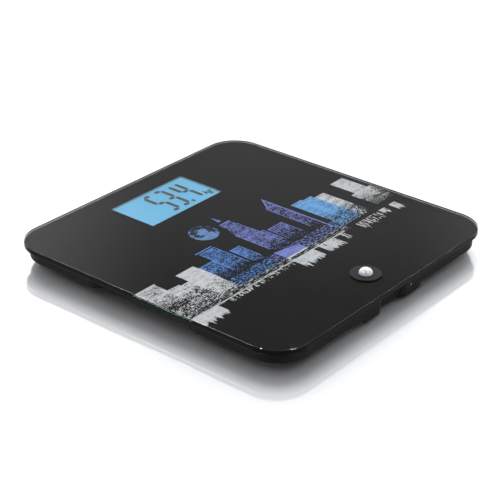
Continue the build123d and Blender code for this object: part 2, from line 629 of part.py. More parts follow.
def night_light_led():
    axis_z = PLATE_TOP_HEIGHT - LED_DROP
    radius = LED_DIAMETER / 2
    straight = LED_LENGTH - radius
    body = Rot(90, 0, 0) * Cylinder(radius, straight)
    lens = Rot(90, 0, 0) * dome_shape(radius, radius)
    rim = Rot(90, 0, 0) * Cylinder(radius + LED_RIM, LED_RIM_THICKNESS)
    nose = TRAY_FRONT + radius
    led = Pos(LED_OFFSET, nose + straight / 2, axis_z) * body
    led += Pos(LED_OFFSET, nose, axis_z) * lens
    back = nose + straight
    led += Pos(LED_OFFSET, back - LED_RIM_THICKNESS / 2, axis_z) * rim
    half = LED_LEG_WIDTH / 2
    root = back - LED_LEG_ROOT
    tip = SENSOR_BOARD_FRONT + LED_LEG_LAP
    top = SENSOR_BOARD_TOP + LED_LEG_THICKNESS
    legs = []
    for x in (LED_OFFSET - LED_LEG_SPREAD, LED_OFFSET + LED_LEG_SPREAD):
        legs.append(block(x - half, x + half, root, tip, SENSOR_BOARD_TOP, top))
    return led + legs


def unit_switch():
    half = SWITCH_SIZE / 2
    x, y = -BUTTON_OFFSET, SENSOR_Y
    body = block(x - half, x + half, y - half, y + half, SWITCH_BOTTOM, SENSOR_BOARD_BOTTOM)
    well = PLUNGER_DIAMETER + 2 * PLUNGER_CLEARANCE
    return body - rod(well, x, y, SWITCH_BOTTOM, SWITCH_BOTTOM + SWITCH_WELL)


def switch_plunger():
    top = SWITCH_BOTTOM + PLUNGER_INSIDE
    return rod(PLUNGER_DIAMETER, -BUTTON_OFFSET, SENSOR_Y, SWITCH_BOTTOM - PLUNGER_REACH, top)


def unit_button():
    x, y = -BUTTON_OFFSET, SENSOR_Y
    face = BLOCK_BOTTOM + BUTTON_RECESS
    cap = rod(BUTTON_DIAMETER, x, y, face, BLOCK_FLOOR_TOP)
    cap = fillet(edges_at(cap, face), BUTTON_EDGE_ROUND)
    flange_top = BLOCK_FLOOR_TOP + BUTTON_FLANGE_THICKNESS
    cap += rod(BUTTON_DIAMETER + 2 * BUTTON_FLANGE, x, y, BLOCK_FLOOR_TOP, flange_top)
    cap += rod(BUTTON_POST_DIAMETER, x, y, flange_top, SWITCH_BOTTOM - PLUNGER_REACH)
    dish = Pos(x, y, face + BUTTON_DISH_DEPTH - BUTTON_DISH_RADIUS) * Sphere(BUTTON_DISH_RADIUS)
    return cap - dish


def battery_box():
    outer = Box(BAY_LENGTH + 2 * BAY_WALL, BAY_DEPTH + 2 * BAY_WALL, BAY_ROOF_TOP - BAY_FLOOR_TOP)
    inner = Box(BAY_LENGTH, BAY_DEPTH, BAY_ROOF_BOTTOM - BAY_FLOOR_TOP)
    shell = Pos(0, BAY_Y, (BAY_ROOF_TOP + BAY_FLOOR_TOP) / 2) * outer
    return shell - Pos(0, BAY_Y, (BAY_ROOF_BOTTOM + BAY_FLOOR_TOP) / 2) * inner


def cell_row(index):
    """Place across the bay and facing of one cell: +1 has its nub towards +X."""
    y = BAY_Y + (index - (CELL_COUNT - 1) / 2) * CELL_PITCH
    facing = 1 if index % 2 == 0 else -1
    return y, facing


def battery_cell(index):
    y, facing = cell_row(index)
    body_length = CELL_LENGTH - CELL_NUB_LENGTH
    can = Rot(0, 90, 0) * Cylinder(CELL_DIAMETER / 2, body_length)
    can = chamfer(can.edges(), CELL_EDGE)
    nub = Rot(0, 90, 0) * Cylinder(CELL_NUB_DIAMETER / 2, CELL_NUB_LENGTH)
    cell = can + Pos((body_length + CELL_NUB_LENGTH) / 2, 0, 0) * nub
    nub_end = BAY_LENGTH / 2 - CONTACT_THICKNESS - CELL_CLEARANCE
    centre = nub_end - CELL_NUB_LENGTH - body_length / 2
    if facing < 0:
        cell = Rot(0, 0, 180) * cell
    return Pos(facing * centre, y, CELL_Z) * cell


def battery_contact_plates():
    """Two single and two bridging plates that put the cells in series."""
    outer = BAY_LENGTH / 2
    z0 = CELL_Z - CONTACT_HEIGHT / 2
    z1 = CELL_Z + CONTACT_HEIGHT / 2
    half = CELL_DIAMETER / 2 - CONTACT_SIDE_GAP
    y0, y1, y2 = [cell_row(i)[0] for i in range(CELL_COUNT)]
    plates = [
        block(-outer, -outer + CONTACT_THICKNESS, y0 - half, y0 + half, z0, z1),
        block(-outer, -outer + CONTACT_THICKNESS, y1 - half, y2 + half, z0, z1),
        block(outer - CONTACT_THICKNESS, outer, y0 - half, y1 + half, z0, z1),
        block(outer - CONTACT_THICKNESS, outer, y2 - half, y2 + half, z0, z1),
    ]
    return group(plates)


def battery_springs():
    """A coil behind the flat end of each cell."""
    rise = SPRING_LENGTH - SPRING_WIRE - SPRING_SLACK
    start = BAY_LENGTH / 2 - CONTACT_THICKNESS - SPRING_WIRE / 2 - SPRING_CLEARANCE
    coils = []
    for index in range(CELL_COUNT):
        y, facing = cell_row(index)
        helix = Helix(rise / SPRING_TURNS, rise, SPRING_RADIUS)
        section = Plane(origin=helix @ 0, z_dir=helix % 0) * Circle(SPRING_WIRE / 2)
        coil = sweep(section, path=helix, is_frenet=True)
        coils.append(Pos(-facing * start, y, CELL_Z) * Rot(0, 90 * facing, 0) * coil)
    return group(coils)


def battery_door():
    z0 = BLOCK_BOTTOM
    plate = block(-DOOR_HALF, DOOR_HALF, DOOR_FRONT, DOOR_BACK, z0, z0 + DOOR_PLATE)
    reach = DOOR_HALF + DOOR_TONGUE_REACH
    tongue_back = DOOR_BACK - DOOR_TONGUE_SETBACK
    plate += block(-reach, reach, DOOR_FRONT, tongue_back, z0 + DOOR_PLATE, DOOR_TOP)
    half = DOOR_GRIP_WIDTH / 2
    grooves = []
    for step in range(DOOR_GRIP_GROOVES):
        y = DOOR_BACK - DOOR_GRIP_START - step * DOOR_GRIP_PITCH
        grooves.append(block(-DOOR_GRIP_HALF, DOOR_GRIP_HALF, y - half, y + half, z0, z0 + DOOR_GRIP_DEPTH))
    return plate - grooves


def lcd_gasket():
    width = WINDOW_WIDTH + 2 * GASKET_WIDTH
    depth = WINDOW_DEPTH + 2 * GASKET_WIDTH
    plan = RectangleRounded(width, depth, GASKET_CORNER_RADIUS)
    plan -= RectangleRounded(WINDOW_WIDTH, WINDOW_DEPTH, WINDOW_CORNER_RADIUS)
    return Pos(0, WINDOW_Y) * prism(plan, GASKET_BOTTOM, FILM_BOTTOM)


def centred_plate(width, depth, z0, z1):
    """A flat rectangle centred on the display window."""
    return block(-width / 2, width / 2, WINDOW_Y - depth / 2, WINDOW_Y + depth / 2, z0, z1)


def lcd_polariser():
    margin = 2 * POLARISER_MARGIN
    return centred_plate(WINDOW_WIDTH + margin, WINDOW_DEPTH + margin, LCD_TOP, GASKET_BOTTOM)


def lcd_panel():
    return centred_plate(LCD_WIDTH, LCD_DEPTH, LCD_BOTTOM, LCD_TOP)


def lcd_backlight():
    width = LCD_WIDTH - 2 * BACKLIGHT_MARGIN
    depth = LCD_DEPTH - 2 * (ZEBRA_WIDTH + BACKLIGHT_MARGIN)
    return centred_plate(width, depth, MAIN_BOARD_TOP, LCD_BOTTOM)


def zebra_strips():
    """The two conductive rubber bars that join the display to its board."""
    half = LCD_WIDTH / 2 - ZEBRA_END_GAP
    front = WINDOW_Y - LCD_DEPTH / 2
    back = WINDOW_Y + LCD_DEPTH / 2
    strips = [
        block(-half, half, front, front + ZEBRA_WIDTH, MAIN_BOARD_TOP, LCD_BOTTOM),
        block(-half, half, back - ZEBRA_WIDTH, back, MAIN_BOARD_TOP, LCD_BOTTOM),
    ]
    return group(strips)


def main_board():
    board = centred_plate(MAIN_BOARD_WIDTH, MAIN_BOARD_DEPTH, MAIN_BOARD_BOTTOM, MAIN_BOARD_TOP)
    for x, y in main_board_screw_places():
        board -= rod(SCREW_HOLE, x, y, MAIN_BOARD_BOTTOM, MAIN_BOARD_TOP)
    return board


def controller_chip():
    face = MAIN_BOARD_BOTTOM - CHIP_HEIGHT
    blob = rod(CHIP_DIAMETER, 0, WINDOW_Y, face, MAIN_BOARD_BOTTOM)
    return fillet(edges_at(blob, face), CHIP_EDGE_ROUND)


def socket_x(slot):
    """Place of a lead's socket along the main board's front edge."""
    return slot * LEAD_PITCH


def lead_sockets():
    body = Box(SOCKET_WIDTH, SOCKET_DEPTH, SOCKET_HEIGHT)
    sockets = []
    for slot in LEAD_SLOTS.values():
        sockets.append(Pos(socket_x(slot), SOCKET_Y, SOCKET_LEAD_Z) * body)
    return group(sockets)


def lead(points):
    """A round lead along straight runs with rounded corners."""
    path = FilletPolyline(*points, radius=LEAD_BEND)
    section = Plane(origin=path @ 0, z_dir=path % 0) * Circle(LEAD_DIAMETER / 2)
    return sweep(section, path=path)


def run_to_socket(slot, lane_y):
    """The last stretch of every lead: across to its socket, up and in."""
    x = socket_x(slot)
    return [
        (x, lane_y, LEAD_Z),
        (x, SOCKET_FRONT - LEAD_RISE_START, LEAD_Z),
        (x, SOCKET_FRONT - LEAD_RISE_END, SOCKET_LEAD_Z),
        (x, SOCKET_FRONT, SOCKET_LEAD_Z),
    ]


def corner_lead(corner):
    side, wall_x, exit_y = lead_exit(corner)
    lane_x = wall_x - side * LEAD_LANE
    lane_y = SOCKET_FRONT - FRONT_LEAD_GAP
    if corner.startswith("rear"):
        lane_x -= side * LEAD_REAR_SHIFT
        lane_y = SOCKET_FRONT - REAR_LEAD_GAP
    exit_z = LOAD_CELL_TOP + HOUSING_SLOT / 2 - LEAD_SAG
    points = [(wall_x + side * LEAD_INSIDE, exit_y, exit_z)]
    points += [(lane_x, exit_y, LEAD_Z), (lane_x, lane_y, LEAD_Z)]
    return lead(points + run_to_socket(LEAD_SLOTS[corner], lane_y))


def bay_lead():
    wall_x = BAY_LENGTH / 2 + BAY_WALL
    lane_x = wall_x + CENTRE_LEAD_REACH
    y = BAY_Y + BAY_DEPTH / 2 - BAY_LEAD_INSET
    lane_y = SOCKET_FRONT - CENTRE_LEAD_GAP
    z = LEAD_Z + BAY_LEAD_RISE
    points = [(wall_x, y, z), (wall_x + BAY_LEAD_STRAIGHT, y, z)]
    points += [(wall_x + BAY_LEAD_FOOT, y, LEAD_Z), (lane_x, y, LEAD_Z), (lane_x, lane_y, LEAD_Z)]
    return lead(points + run_to_socket(LEAD_SLOTS["battery"], lane_y))


def sensor_lead():
    edge_x = -SENSOR_BOARD_WIDTH / 2
    lane_x = -(BAY_LENGTH / 2 + BAY_WALL + CENTRE_LEAD_REACH)
    y = SENSOR_SCREW_Y - SENSOR_LEAD_GAP
    z = SENSOR_BOARD_TOP + LEAD_DIAMETER / 2
    lane_y = SOCKET_FRONT - CENTRE_LEAD_GAP
    points = [(edge_x + SENSOR_LEAD_LAP, y, z), (edge_x - SENSOR_LEAD_STRAIGHT, y, z)]
    points += [(lane_x, y, LEAD_Z), (lane_x, lane_y, LEAD_Z)]
    return lead(points + run_to_socket(LEAD_SLOTS["sensor"], lane_y))


def load_cell(x, y):
    """A steel plate with a tongue cut free on three sides."""
    half = LOAD_CELL_SIZE / 2
    plate = RectangleRounded(LOAD_CELL_SIZE, LOAD_CELL_SIZE, LOAD_CELL_CORNER_RADIUS)
    slot_x = TONGUE_WIDTH / 2 + TONGUE_SLOT / 2
    low = -TONGUE_LENGTH / 2
    for side in (-1, 1):
        plate -= Pos(side * slot_x, 0) * Rectangle(TONGUE_SLOT, TONGUE_LENGTH)
    plate -= Pos(0, low + TONGUE_SLOT / 2) * Rectangle(TONGUE_WIDTH + 2 * TONGUE_SLOT, TONGUE_SLOT)
    hole_place = half - LOAD_CELL_HOLE_INSET
    for side in (-1, 1):
        plate -= Pos(side * hole_place, hole_place) * Circle(LOAD_CELL_HOLE_DIAMETER / 2)
    return Pos(x, y) * prism(plate, LOAD_CELL_BOTTOM, LOAD_CELL_TOP)


def strain_gauges():
    """One potted gauge on the root of each load cell's tongue."""
    body = Box(GAUGE_WIDTH, GAUGE_LENGTH, GAUGE_THICKNESS)
    gauges = []
    for x, y in CORNERS.values():
        root = y + TONGUE_LENGTH / 2 - GAUGE_LENGTH / 2
        gauges.append(Pos(x, root, LOAD_CELL_TOP + GAUGE_THICKNESS / 2) * body)
    return group(gauges)


def lead_exit(corner):
    """Where a corner's lead leaves its housing: inward side, wall face and place along it."""
    foot_x, foot_y = CORNERS[corner]
    side = 1 if foot_x > 0 else -1
    exit_y = foot_y if foot_y < 0 else foot_y - LEAD_LANE
    return side, foot_x - side * HOUSING_SIZE / 2, exit_y


def sensor_housing(corner):
    """A moulded block bonded under the glass that the load cell's rim bears on."""
    x, y = CORNERS[corner]
    side, wall_x, exit_y = lead_exit(corner)
    pocket = LOAD_CELL_SIZE + 2 * HOUSING_CLEARANCE
    middle_z = (LOAD_CELL_BOTTOM + LOAD_CELL_TOP) / 2
    plan = RectangleRounded(HOUSING_SIZE, HOUSING_SIZE, HOUSING_CORNER_RADIUS)
    body = prism(plan, LOAD_CELL_BOTTOM, FILM_BOTTOM)
    body -= Pos(0, 0, middle_z) * Box(pocket, pocket, LOAD_CELL_THICKNESS)
    body -= Pos(0, 0, LOAD_CELL_TOP + HOUSING_RELIEF / 2) * Box(RELIEF_SIZE, RELIEF_SIZE, HOUSING_RELIEF)
    body = Pos(x, y) * body
    slot_length = HOUSING_MARGIN + (LOAD_CELL_SIZE - RELIEF_SIZE) / 2 + HOUSING_RELIEF_MARGIN
    slot = Box(slot_length, HOUSING_SLOT, HOUSING_SLOT)
    body -= Pos(wall_x + side * slot_length / 2, exit_y, LOAD_CELL_TOP + HOUSING_SLOT / 2) * slot
    notch_length = HOUSING_MARGIN - HOUSING_CLEARANCE
    notch = Box(notch_length, HOUSING_SLOT, LOAD_CELL_THICKNESS)
    return body - Pos(wall_x + side * notch_length / 2, exit_y, middle_z) * notch


def foot_cap(x, y):
    """A ribbed cup that holds a pad below and pushes its stem up on the load cell's tongue."""
    body = rod(FOOT_DIAMETER, 0, 0, FOOT_BOTTOM, FLANGE_BOTTOM)
    body = chamfer(edges_at(body, FOOT_BOTTOM), FOOT_EDGE)
    body += rod(FOOT_DIAMETER + 2 * FOOT_FLANGE, 0, 0, FLANGE_BOTTOM, FLANGE_TOP)
    body -= rod(PAD_DIAMETER + 2 * PAD_CLEARANCE, 0, 0, FOOT_BOTTOM, PAD_THICKNESS)
    floor = PAD_THICKNESS + FOOT_BASE
    hollow = rod(FOOT_DIAMETER - 2 * FOOT_WALL, 0, 0, floor, FLANGE_TOP)
    hollow -= rod(FOOT_STEM_DIAMETER, 0, 0, floor, FLANGE_TOP)
    web = Box(FOOT_DIAMETER, FOOT_WEB, FLANGE_TOP - floor)
    for turn in (0, 90):
        hollow -= Pos(0, 0, (floor + FLANGE_TOP) / 2) * Rot(0, 0, turn) * web
    body -= hollow
    body += rod(FOOT_STEM_DIAMETER, 0, 0, FLANGE_TOP, LOAD_CELL_BOTTOM)
    return Pos(x, y) * body


def foot_pad(x, y):
    pad = rod(PAD_DIAMETER, 0, 0, 0, PAD_THICKNESS)
    pad = fillet(edges_at(pad, 0), PAD_EDGE_ROUND)
    for radius in PAD_GROOVE_RADII:
        ring = Circle(radius + PAD_GROOVE_WIDTH / 2) - Circle(radius - PAD_GROOVE_WIDTH / 2)
        pad -= prism(ring, 0, PAD_GROOVE_DEPTH)
    return Pos(x, y) * pad


def build_parts():
    """Every piece of the scale by node name."""
    plan = tray_outline()
    main_screws = [screw(x, y, MAIN_BOARD_TOP) for x, y in main_board_screw_places()]
    sensor_screws = [screw(x, y, SENSOR_BOARD_TOP) for x, y in sensor_board_screw_places()]
    pieces = {
        "glass_platform": glass_platform(),
        "backprint_film": backprint_film(),
        "foam_tape": foam_tape(plan),
        "base_tray": base_tray(plan),
        "rating_label": rating_label(),
        "sensor_bezel": sensor_bezel(),
        "sensor_lock_ring": sensor_lock_ring(),
        "sensor_dome": sensor_dome(),
        "motion_sensor_can": motion_sensor_can(),
        "sensor_board": sensor_board(),
        "sensor_board_screws": group(sensor_screws),
        "night_light_led": night_light_led(),
        "unit_switch": unit_switch(),
        "switch_plunger": switch_plunger(),
        "unit_button": unit_button(),
        "battery_box": battery_box(),
        "battery_contact_plates": battery_contact_plates(),
        "battery_springs": battery_springs(),
        "battery_door": battery_door(),
        "lcd_gasket": lcd_gasket(),
        "lcd_polariser": lcd_polariser(),
        "lcd_panel": lcd_panel(),
        "lcd_backlight": lcd_backlight(),
        "zebra_strips": zebra_strips(),
        "main_board": main_board(),
        "main_board_screws": group(main_screws),
        "controller_chip": controller_chip(),
        "lead_sockets": lead_sockets(),
        "battery_lead": bay_lead(),
        "sensor_board_lead": sensor_lead(),
        "strain_gauges": strain_gauges(),
    }
    for index in range(CELL_COUNT):
        pieces[f"battery_cell_{index + 1}"] = battery_cell(index)
    for corner, (x, y) in CORNERS.items():
        pieces[f"sensor_housing_{corner}"] = sensor_housing(corner)
        pieces[f"load_cell_{corner}"] = load_cell(x, y)
        pieces[f"load_cell_lead_{corner}"] = corner_lead(corner)
        pieces[f"foot_cap_{corner}"] = foot_cap(x, y)
        pieces[f"foot_pad_{corner}"] = foot_pad(x, y)
    return pieces


def main():
    os.makedirs("parts", exist_ok=True)
    for name, piece in build_parts().items():
        export_step(piece, f"parts/{name}.step")
        print(name, round(piece.volume, 1))


main()
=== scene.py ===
import math

import bpy
from mathutils import Matrix, Vector


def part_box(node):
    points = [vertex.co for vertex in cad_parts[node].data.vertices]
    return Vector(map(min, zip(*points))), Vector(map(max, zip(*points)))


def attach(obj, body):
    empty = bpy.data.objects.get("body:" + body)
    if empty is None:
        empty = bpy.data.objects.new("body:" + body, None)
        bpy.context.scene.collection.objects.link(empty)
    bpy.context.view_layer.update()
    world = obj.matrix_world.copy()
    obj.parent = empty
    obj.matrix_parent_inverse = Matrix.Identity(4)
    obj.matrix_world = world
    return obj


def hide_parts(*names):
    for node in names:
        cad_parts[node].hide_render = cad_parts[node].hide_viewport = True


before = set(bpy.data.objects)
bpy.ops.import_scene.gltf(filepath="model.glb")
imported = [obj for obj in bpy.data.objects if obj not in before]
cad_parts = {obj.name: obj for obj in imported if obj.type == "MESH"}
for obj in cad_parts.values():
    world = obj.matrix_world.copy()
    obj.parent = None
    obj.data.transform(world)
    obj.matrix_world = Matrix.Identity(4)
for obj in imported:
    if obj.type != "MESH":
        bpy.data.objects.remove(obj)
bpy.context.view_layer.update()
bpy.ops.object.select_all(action="DESELECT")

MM = 0.001
CORNERS = ("front_left", "front_right", "rear_left", "rear_right")
BODY = "scale_body"

PLATE_LOW, PLATE_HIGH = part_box("glass_platform")
FILM_LOW, FILM_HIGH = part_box("backprint_film")
POLARISER_LOW, POLARISER_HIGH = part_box("lcd_polariser")
BEZEL_LOW, BEZEL_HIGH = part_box("sensor_bezel")
DOME_LOW, DOME_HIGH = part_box("sensor_dome")
SENSOR_CENTRE = (BEZEL_LOW + BEZEL_HIGH) / 2

PLATE_CORNER = 31 * MM
PLATE_ARRIS = 0.5 * MM
ARRIS_STEPS = 3
PLATE_HOLE = 17.4 * MM
WINDOW_SIZE = (94 * MM, 51 * MM)
WINDOW_CORNER = 1 * MM
PRINT_LAP = 0.05 * MM
DOME_RADIUS = 6.0 * MM
FACET_EDGE = 0.12 * MM
# points this close together in height are on one level
SAME_LEVEL = 1e-6
# faces that turn by more degrees than this keep a sharp edge between them
SHARP_TURN = 12

# the level direction from the viewer over the plate, and the whole line of sight at its near corner
BEHIND = (0.7807, 0.6249)
SIGHT_AT_NEAR_CORNER = Vector((0.682, 0.521, -0.515))


# ---------------------------------------------------------------- camera and lamps

def add_camera():
    """A long lens at the viewing side, a little to the left of the user's edge."""
    azimuth = math.radians(-51.319)
    elevation = math.radians(27.687)
    roll = math.radians(0.9357)
    level = math.cos(elevation)
    back = Vector((math.sin(azimuth) * level, -math.cos(azimuth) * level, math.sin(elevation)))
    side = Vector((0, 0, 1)).cross(back).normalized()
    rise = back.cross(side)
    right = math.cos(roll) * side + math.sin(roll) * rise
    up = math.cos(roll) * rise - math.sin(roll) * side

    # where the camera stands from the middle of the plate's top, in widths of the plate
    away, aside, above = 4.4494, -0.0102, -0.0543
    span = PLATE_HIGH.x - PLATE_LOW.x
    place = (away * back + aside * side + above * rise) * span + Vector((0, 0, PLATE_HIGH.z))
    data = bpy.data.cameras.new("camera")
    data.sensor_width = 36
    data.lens = 110.0
    data.clip_start = 0.05
    data.clip_end = 50
    camera = bpy.data.objects.new("camera", data)
    bpy.context.collection.objects.link(camera)
    turn = Matrix((right, up, back)).transposed().to_4x4()
    camera.matrix_world = Matrix.Translation(place) @ turn
    bpy.context.scene.camera = camera


def add_wide_light(name, toward, spread, strength):
    """A soft light from far off, the same all over the floor, that the glass doesn't mirror."""
    data = bpy.data.lights.new(name, "SUN")
    data.angle = math.radians(spread)
    data.energy = strength
    lamp = bpy.data.objects.new(name, data)
    bpy.context.collection.objects.link(lamp)
    lamp.matrix_world = Vector(toward).to_track_quat("Z", "Y").to_matrix().to_4x4()
    lamp.visible_glossy = False
    lamp.visible_transmission = False


def add_glint(name, toward, distance, size, strength):
    """A small square lamp that only shows as a highlight on gloss."""
    data = bpy.data.lights.new(name, "AREA")
    data.shape = "RECTANGLE"
    data.size, data.size_y = size
    data.energy = strength * math.pi * size[0] * size[1]
    lamp = bpy.data.objects.new(name, data)
    bpy.context.collection.objects.link(lamp)
    facing = Vector(toward).normalized()
    turn = facing.to_track_quat("Z", "Y").to_matrix().to_4x4()
    lamp.matrix_world = Matrix.Translation(facing * distance) @ turn
    lamp.visible_diffuse = False
    lamp.visible_transmission = False


# ---------------------------------------------------------------- shader writing

class Field:
    """A shader socket that is written like a number."""

    def __init__(self, paint, socket):
        self.paint = paint
        self.socket = socket

    def math(self, operation, *others):
        return self.paint.node("ShaderNodeMath", {"operation": operation}, [self, *others])

    def __add__(self, other):
        return self.math("ADD", other)

    def __radd__(self, other):
        return self.math("ADD", other)

    def __sub__(self, other):
        return self.math("SUBTRACT", other)

    def __rsub__(self, other):
        return self.paint.node("ShaderNodeMath", {"operation": "SUBTRACT"}, [other, self])

    def __mul__(self, other):
        return self.math("MULTIPLY", other)

    def __rmul__(self, other):
        return self.math("MULTIPLY", other)

    def __truediv__(self, other):
        return self.math("DIVIDE", other)

    def __gt__(self, other):
        return self.math("GREATER_THAN", other)

    def __lt__(self, other):
        return self.math("LESS_THAN", other)

    def either(self, other):
        """One mask or the other."""
        return self.math("MAXIMUM", other)

    def between(self, low, high):
        """1 between two levels and 0 outside them."""
        return (self > low) * (self < high)

    def part(self):
        return self.math("FRACT")

    def clipped(self):
        return self.paint.node("ShaderNodeClamp", {}, [self, 0.0, 1.0])

    def rise(self, low, high):
        """0 below low, 1 above high and a smooth step between."""
        settings = {"interpolation_type": "SMOOTHSTEP"}
        return self.paint.node("ShaderNodeMapRange", settings, [self, low, high, 0.0, 1.0])


class Nodes:
    """A node tree that is written as expressions."""

    def __init__(self, tree):
        self.tree = tree

    def node(self, kind, settings, inputs, output=0):
        """Adds a node: its settings first, then its sockets' values or links."""
        made = self.tree.nodes.new(kind)
        for key, value in settings.items():
            if key == "stops":
                self.fill_ramp(made.color_ramp, value)
            else:
                setattr(made, key, value)
        pairs = inputs.items() if isinstance(inputs, dict) else enumerate(inputs)
        for key, value in pairs:
            self.feed(made.inputs[key], value)
        return Field(self, made.outputs[output])

    def feed(self, socket, value):
        if isinstance(value, Field):
            self.tree.links.new(value.socket, socket)
        else:
            socket.default_value = value

    @staticmethod
    def fill_ramp(ramp, stops):
        while len(ramp.elements) < len(stops):
            ramp.elements.new(1.0)
        for element, (position, colour) in zip(ramp.elements, stops):
            element.position = position
            element.color = (*colour, 1)

    def place(self, kind="Object"):
        """Coordinates, in metres where they are the object's: the vector and its three numbers."""
        vector = self.node("ShaderNodeTexCoord", {}, [], kind)
        split = self.tree.nodes.new("ShaderNodeSeparateXYZ")
        self.tree.links.new(vector.socket, split.inputs[0])
        return vector, [Field(self, split.outputs[i]) for i in range(3)]

    def vector(self, x, y, z):
        return self.node("ShaderNodeCombineXYZ", {}, [x, y, z])

    def noise(self, vector, scale, detail=2.0, roughness=0.5):
        inputs = {"Vector": vector, "Scale": scale, "Detail": detail, "Roughness": roughness}
        return self.node("ShaderNodeTexNoise", {}, inputs)

    def mix(self, factor, low, high):
        """A colour between two colours."""
        low = low if isinstance(low, Field) else (*low, 1)
        high = high if isinstance(high, Field) else (*high, 1)
        return self.node("ShaderNodeMix", {"data_type": "RGBA"}, {0: factor, 6: low, 7: high}, 2)

    def ramp(self, value, stops, smooth="LINEAR"):
        field = self.node("ShaderNodeValToRGB", {"stops": stops}, [value])
        field.socket.node.color_ramp.interpolation = smooth
        return field


class Paint(Nodes):
    """One material and the nodes behind its surface."""

    def __init__(self, name, **settings):
        self.material = bpy.data.materials.new(name)
        self.material.use_nodes = True
        super().__init__(self.material.node_tree)
        self.surface = self.tree.nodes["Principled BSDF"]
        self.output = self.tree.nodes["Material Output"]
        for socket, value in settings.items():
            self.surface.inputs[socket.replace("_", " ")].default_value = value

    def show(self, **fields):
        """Feeds sockets of the surface with what changes over it."""
        for socket, value in fields.items():
            self.feed(self.surface.inputs[socket.replace("_", " ")], value)

    def bump(self, height, strength, distance):
        inputs = {"Strength": strength, "Distance": distance, "Height": height}
        normal = self.node("ShaderNodeBump", {}, inputs)
        self.feed(self.surface.inputs["Normal"], normal)


# ---------------------------------------------------------------- finishes

def clear_glass():
    """Float glass, its tint slightly uneven; its upright edges are a dark surface with painted shade and
    painted glints of the print.
    """
    paint = Paint("clear glass", Transmission_Weight=1.0, IOR=1.52, Roughness=0.0)
    vector, (x, y, z) = paint.place()
    haze = paint.noise(vector, 9.0, 3.0).rise(0.5, 0.8)
    paint.show(Base_Color=paint.mix(haze, (0.955, 0.985, 0.972), (0.945, 0.98, 0.965)))
    lamp_ray = paint.node("ShaderNodeLightPath", {}, [], "Is Shadow Ray")
    open_air = paint.node("ShaderNodeBsdfTransparent", {}, [])
    glass = Field(paint, paint.surface.outputs[0])
    body = paint.node("ShaderNodeMixShader", {}, [lamp_ray, glass, open_air])

    # painted shade: the upright edge is a dark green surface instead of glass, with painted glints where
    # the white print lies beside it
    depth = paint.mix(haze, (0.003, 0.0045, 0.004), (0.005, 0.008, 0.007))
    fleck = paint.noise(paint.vector(x, y * 900.0, z * 700.0), 1.0, 2.0) > 0.5
    # painted glints of the white print, in a band beside the town near the top of the edge
    print_glint_band = y.between(-60 * MM, 4 * MM) * (z > PLATE_HIGH.z - 2.4 * MM)
    depth = paint.mix(fleck * print_glint_band, depth, (0.13, 0.22, 0.18))
    edge = {"Base Color": depth, "Roughness": 0.25, "Specular IOR Level": 0.03}
    rim = paint.node("ShaderNodeBsdfPrincipled", {}, edge)
    normal = paint.node("ShaderNodeNewGeometry", {}, [], "Normal")
    level = paint.node("ShaderNodeSeparateXYZ", {}, [normal], 2).math("ABSOLUTE")
    # the broad faces and the top arris stay glass; the upright edge gets the painted shade and glints
    see_through = (level > 0.9).either(z > PLATE_HIGH.z - PLATE_ARRIS)
    whole = paint.node("ShaderNodeMixShader", {}, [see_through, rim, body])
    paint.feed(paint.output.inputs["Surface"], whole)
    return paint.material


# the print is laid out in millimetres from the middle of the plate
SHORE = -57.0
STREET = -45.0
MOON_PLACE = (-28.2, 33.3)
MOON_RADIUS = 13.6
ROOF_SLAB = 1.4
HEAD_LEFT = 46.5
HEAD_RIGHT = 57.5
MAST_LEFT = 55.8

INK_GREY = (0.60, 0.61, 0.625)
INK_BLUE = (0.112, 0.265, 0.64)
INK_VIOLET = (0.195, 0.235, 0.59)
INK_CYAN = (0.165, 0.39, 0.72)
INK_MOON = (0.17, 0.31, 0.60)
# share of the plate's width where each ink starts
TOWN_INKS = ((0.0, INK_GREY), (0.231, INK_BLUE), (0.405, INK_VIOLET), (0.69, INK_CYAN), (0.805, INK_GREY))

# left edge, right edge, height at the left edge, lean of the roof, share of dark windows
TOWERS = (
    (-150, -125.5, 3.0, 0.0, 0.47),
    (-125.5, -112, -11.0, -0.05, 0.42),
    (-112, -102.5, -14.0, 0.0, 0.45),
    (-102.5, -80.5, 0.5, 0.0, 0.36),
    (-80.5, -62, -5.5, 0.0, 0.5),
    (-62, -42.5, 10.0, 0.0, 0.5),
    (-39.5, -26.5, -5.0, 0.0, 0.47),
    (-14.5, 6.5, 9.0, 0.0, 0.49),
    (-14.5, 10.5, -2.0, 0.0, 0.5),
    (13, 33, -4.5, 0.0, 0.52),
    (43.5, 57.5, 22.0, 0.0, 0.52),
    (65, 80, 9.5, 0.0, 0.41),
    (80, 92, 7.5, 0.0, 0.42),
    (92, 105.5, 3.0, 0.0, 0.43),
    (124, 143, 9.0, 0.0, 0.41),
    (118, 147, -20.0, 0.0, 0.43),
)
# left edge, right edge and height of each flat roof slab
ROOF_SLABS = ((-149, -124.5, 4.5), (-64, -43, 13.0), (-8.0, 5.5, 33.0))
# left edge, right edge, reach below the shore, share left dark
REFLECTIONS = (
    (-147, -117, 20.0, 0.30),
    (-105, -60, 8.0, 0.52),
    (-58, -22, 8.0, 0.56),
    (-18, 10, 21.0, 0.30),
    (17, 39, 20.0, 0.38),
    (46, 52, 17.0, 0.50),
    (73, 105, 16.0, 0.52),
    (108, 117, 11.0, 0.44),
    (124, 133, 17.0, 0.40),
)


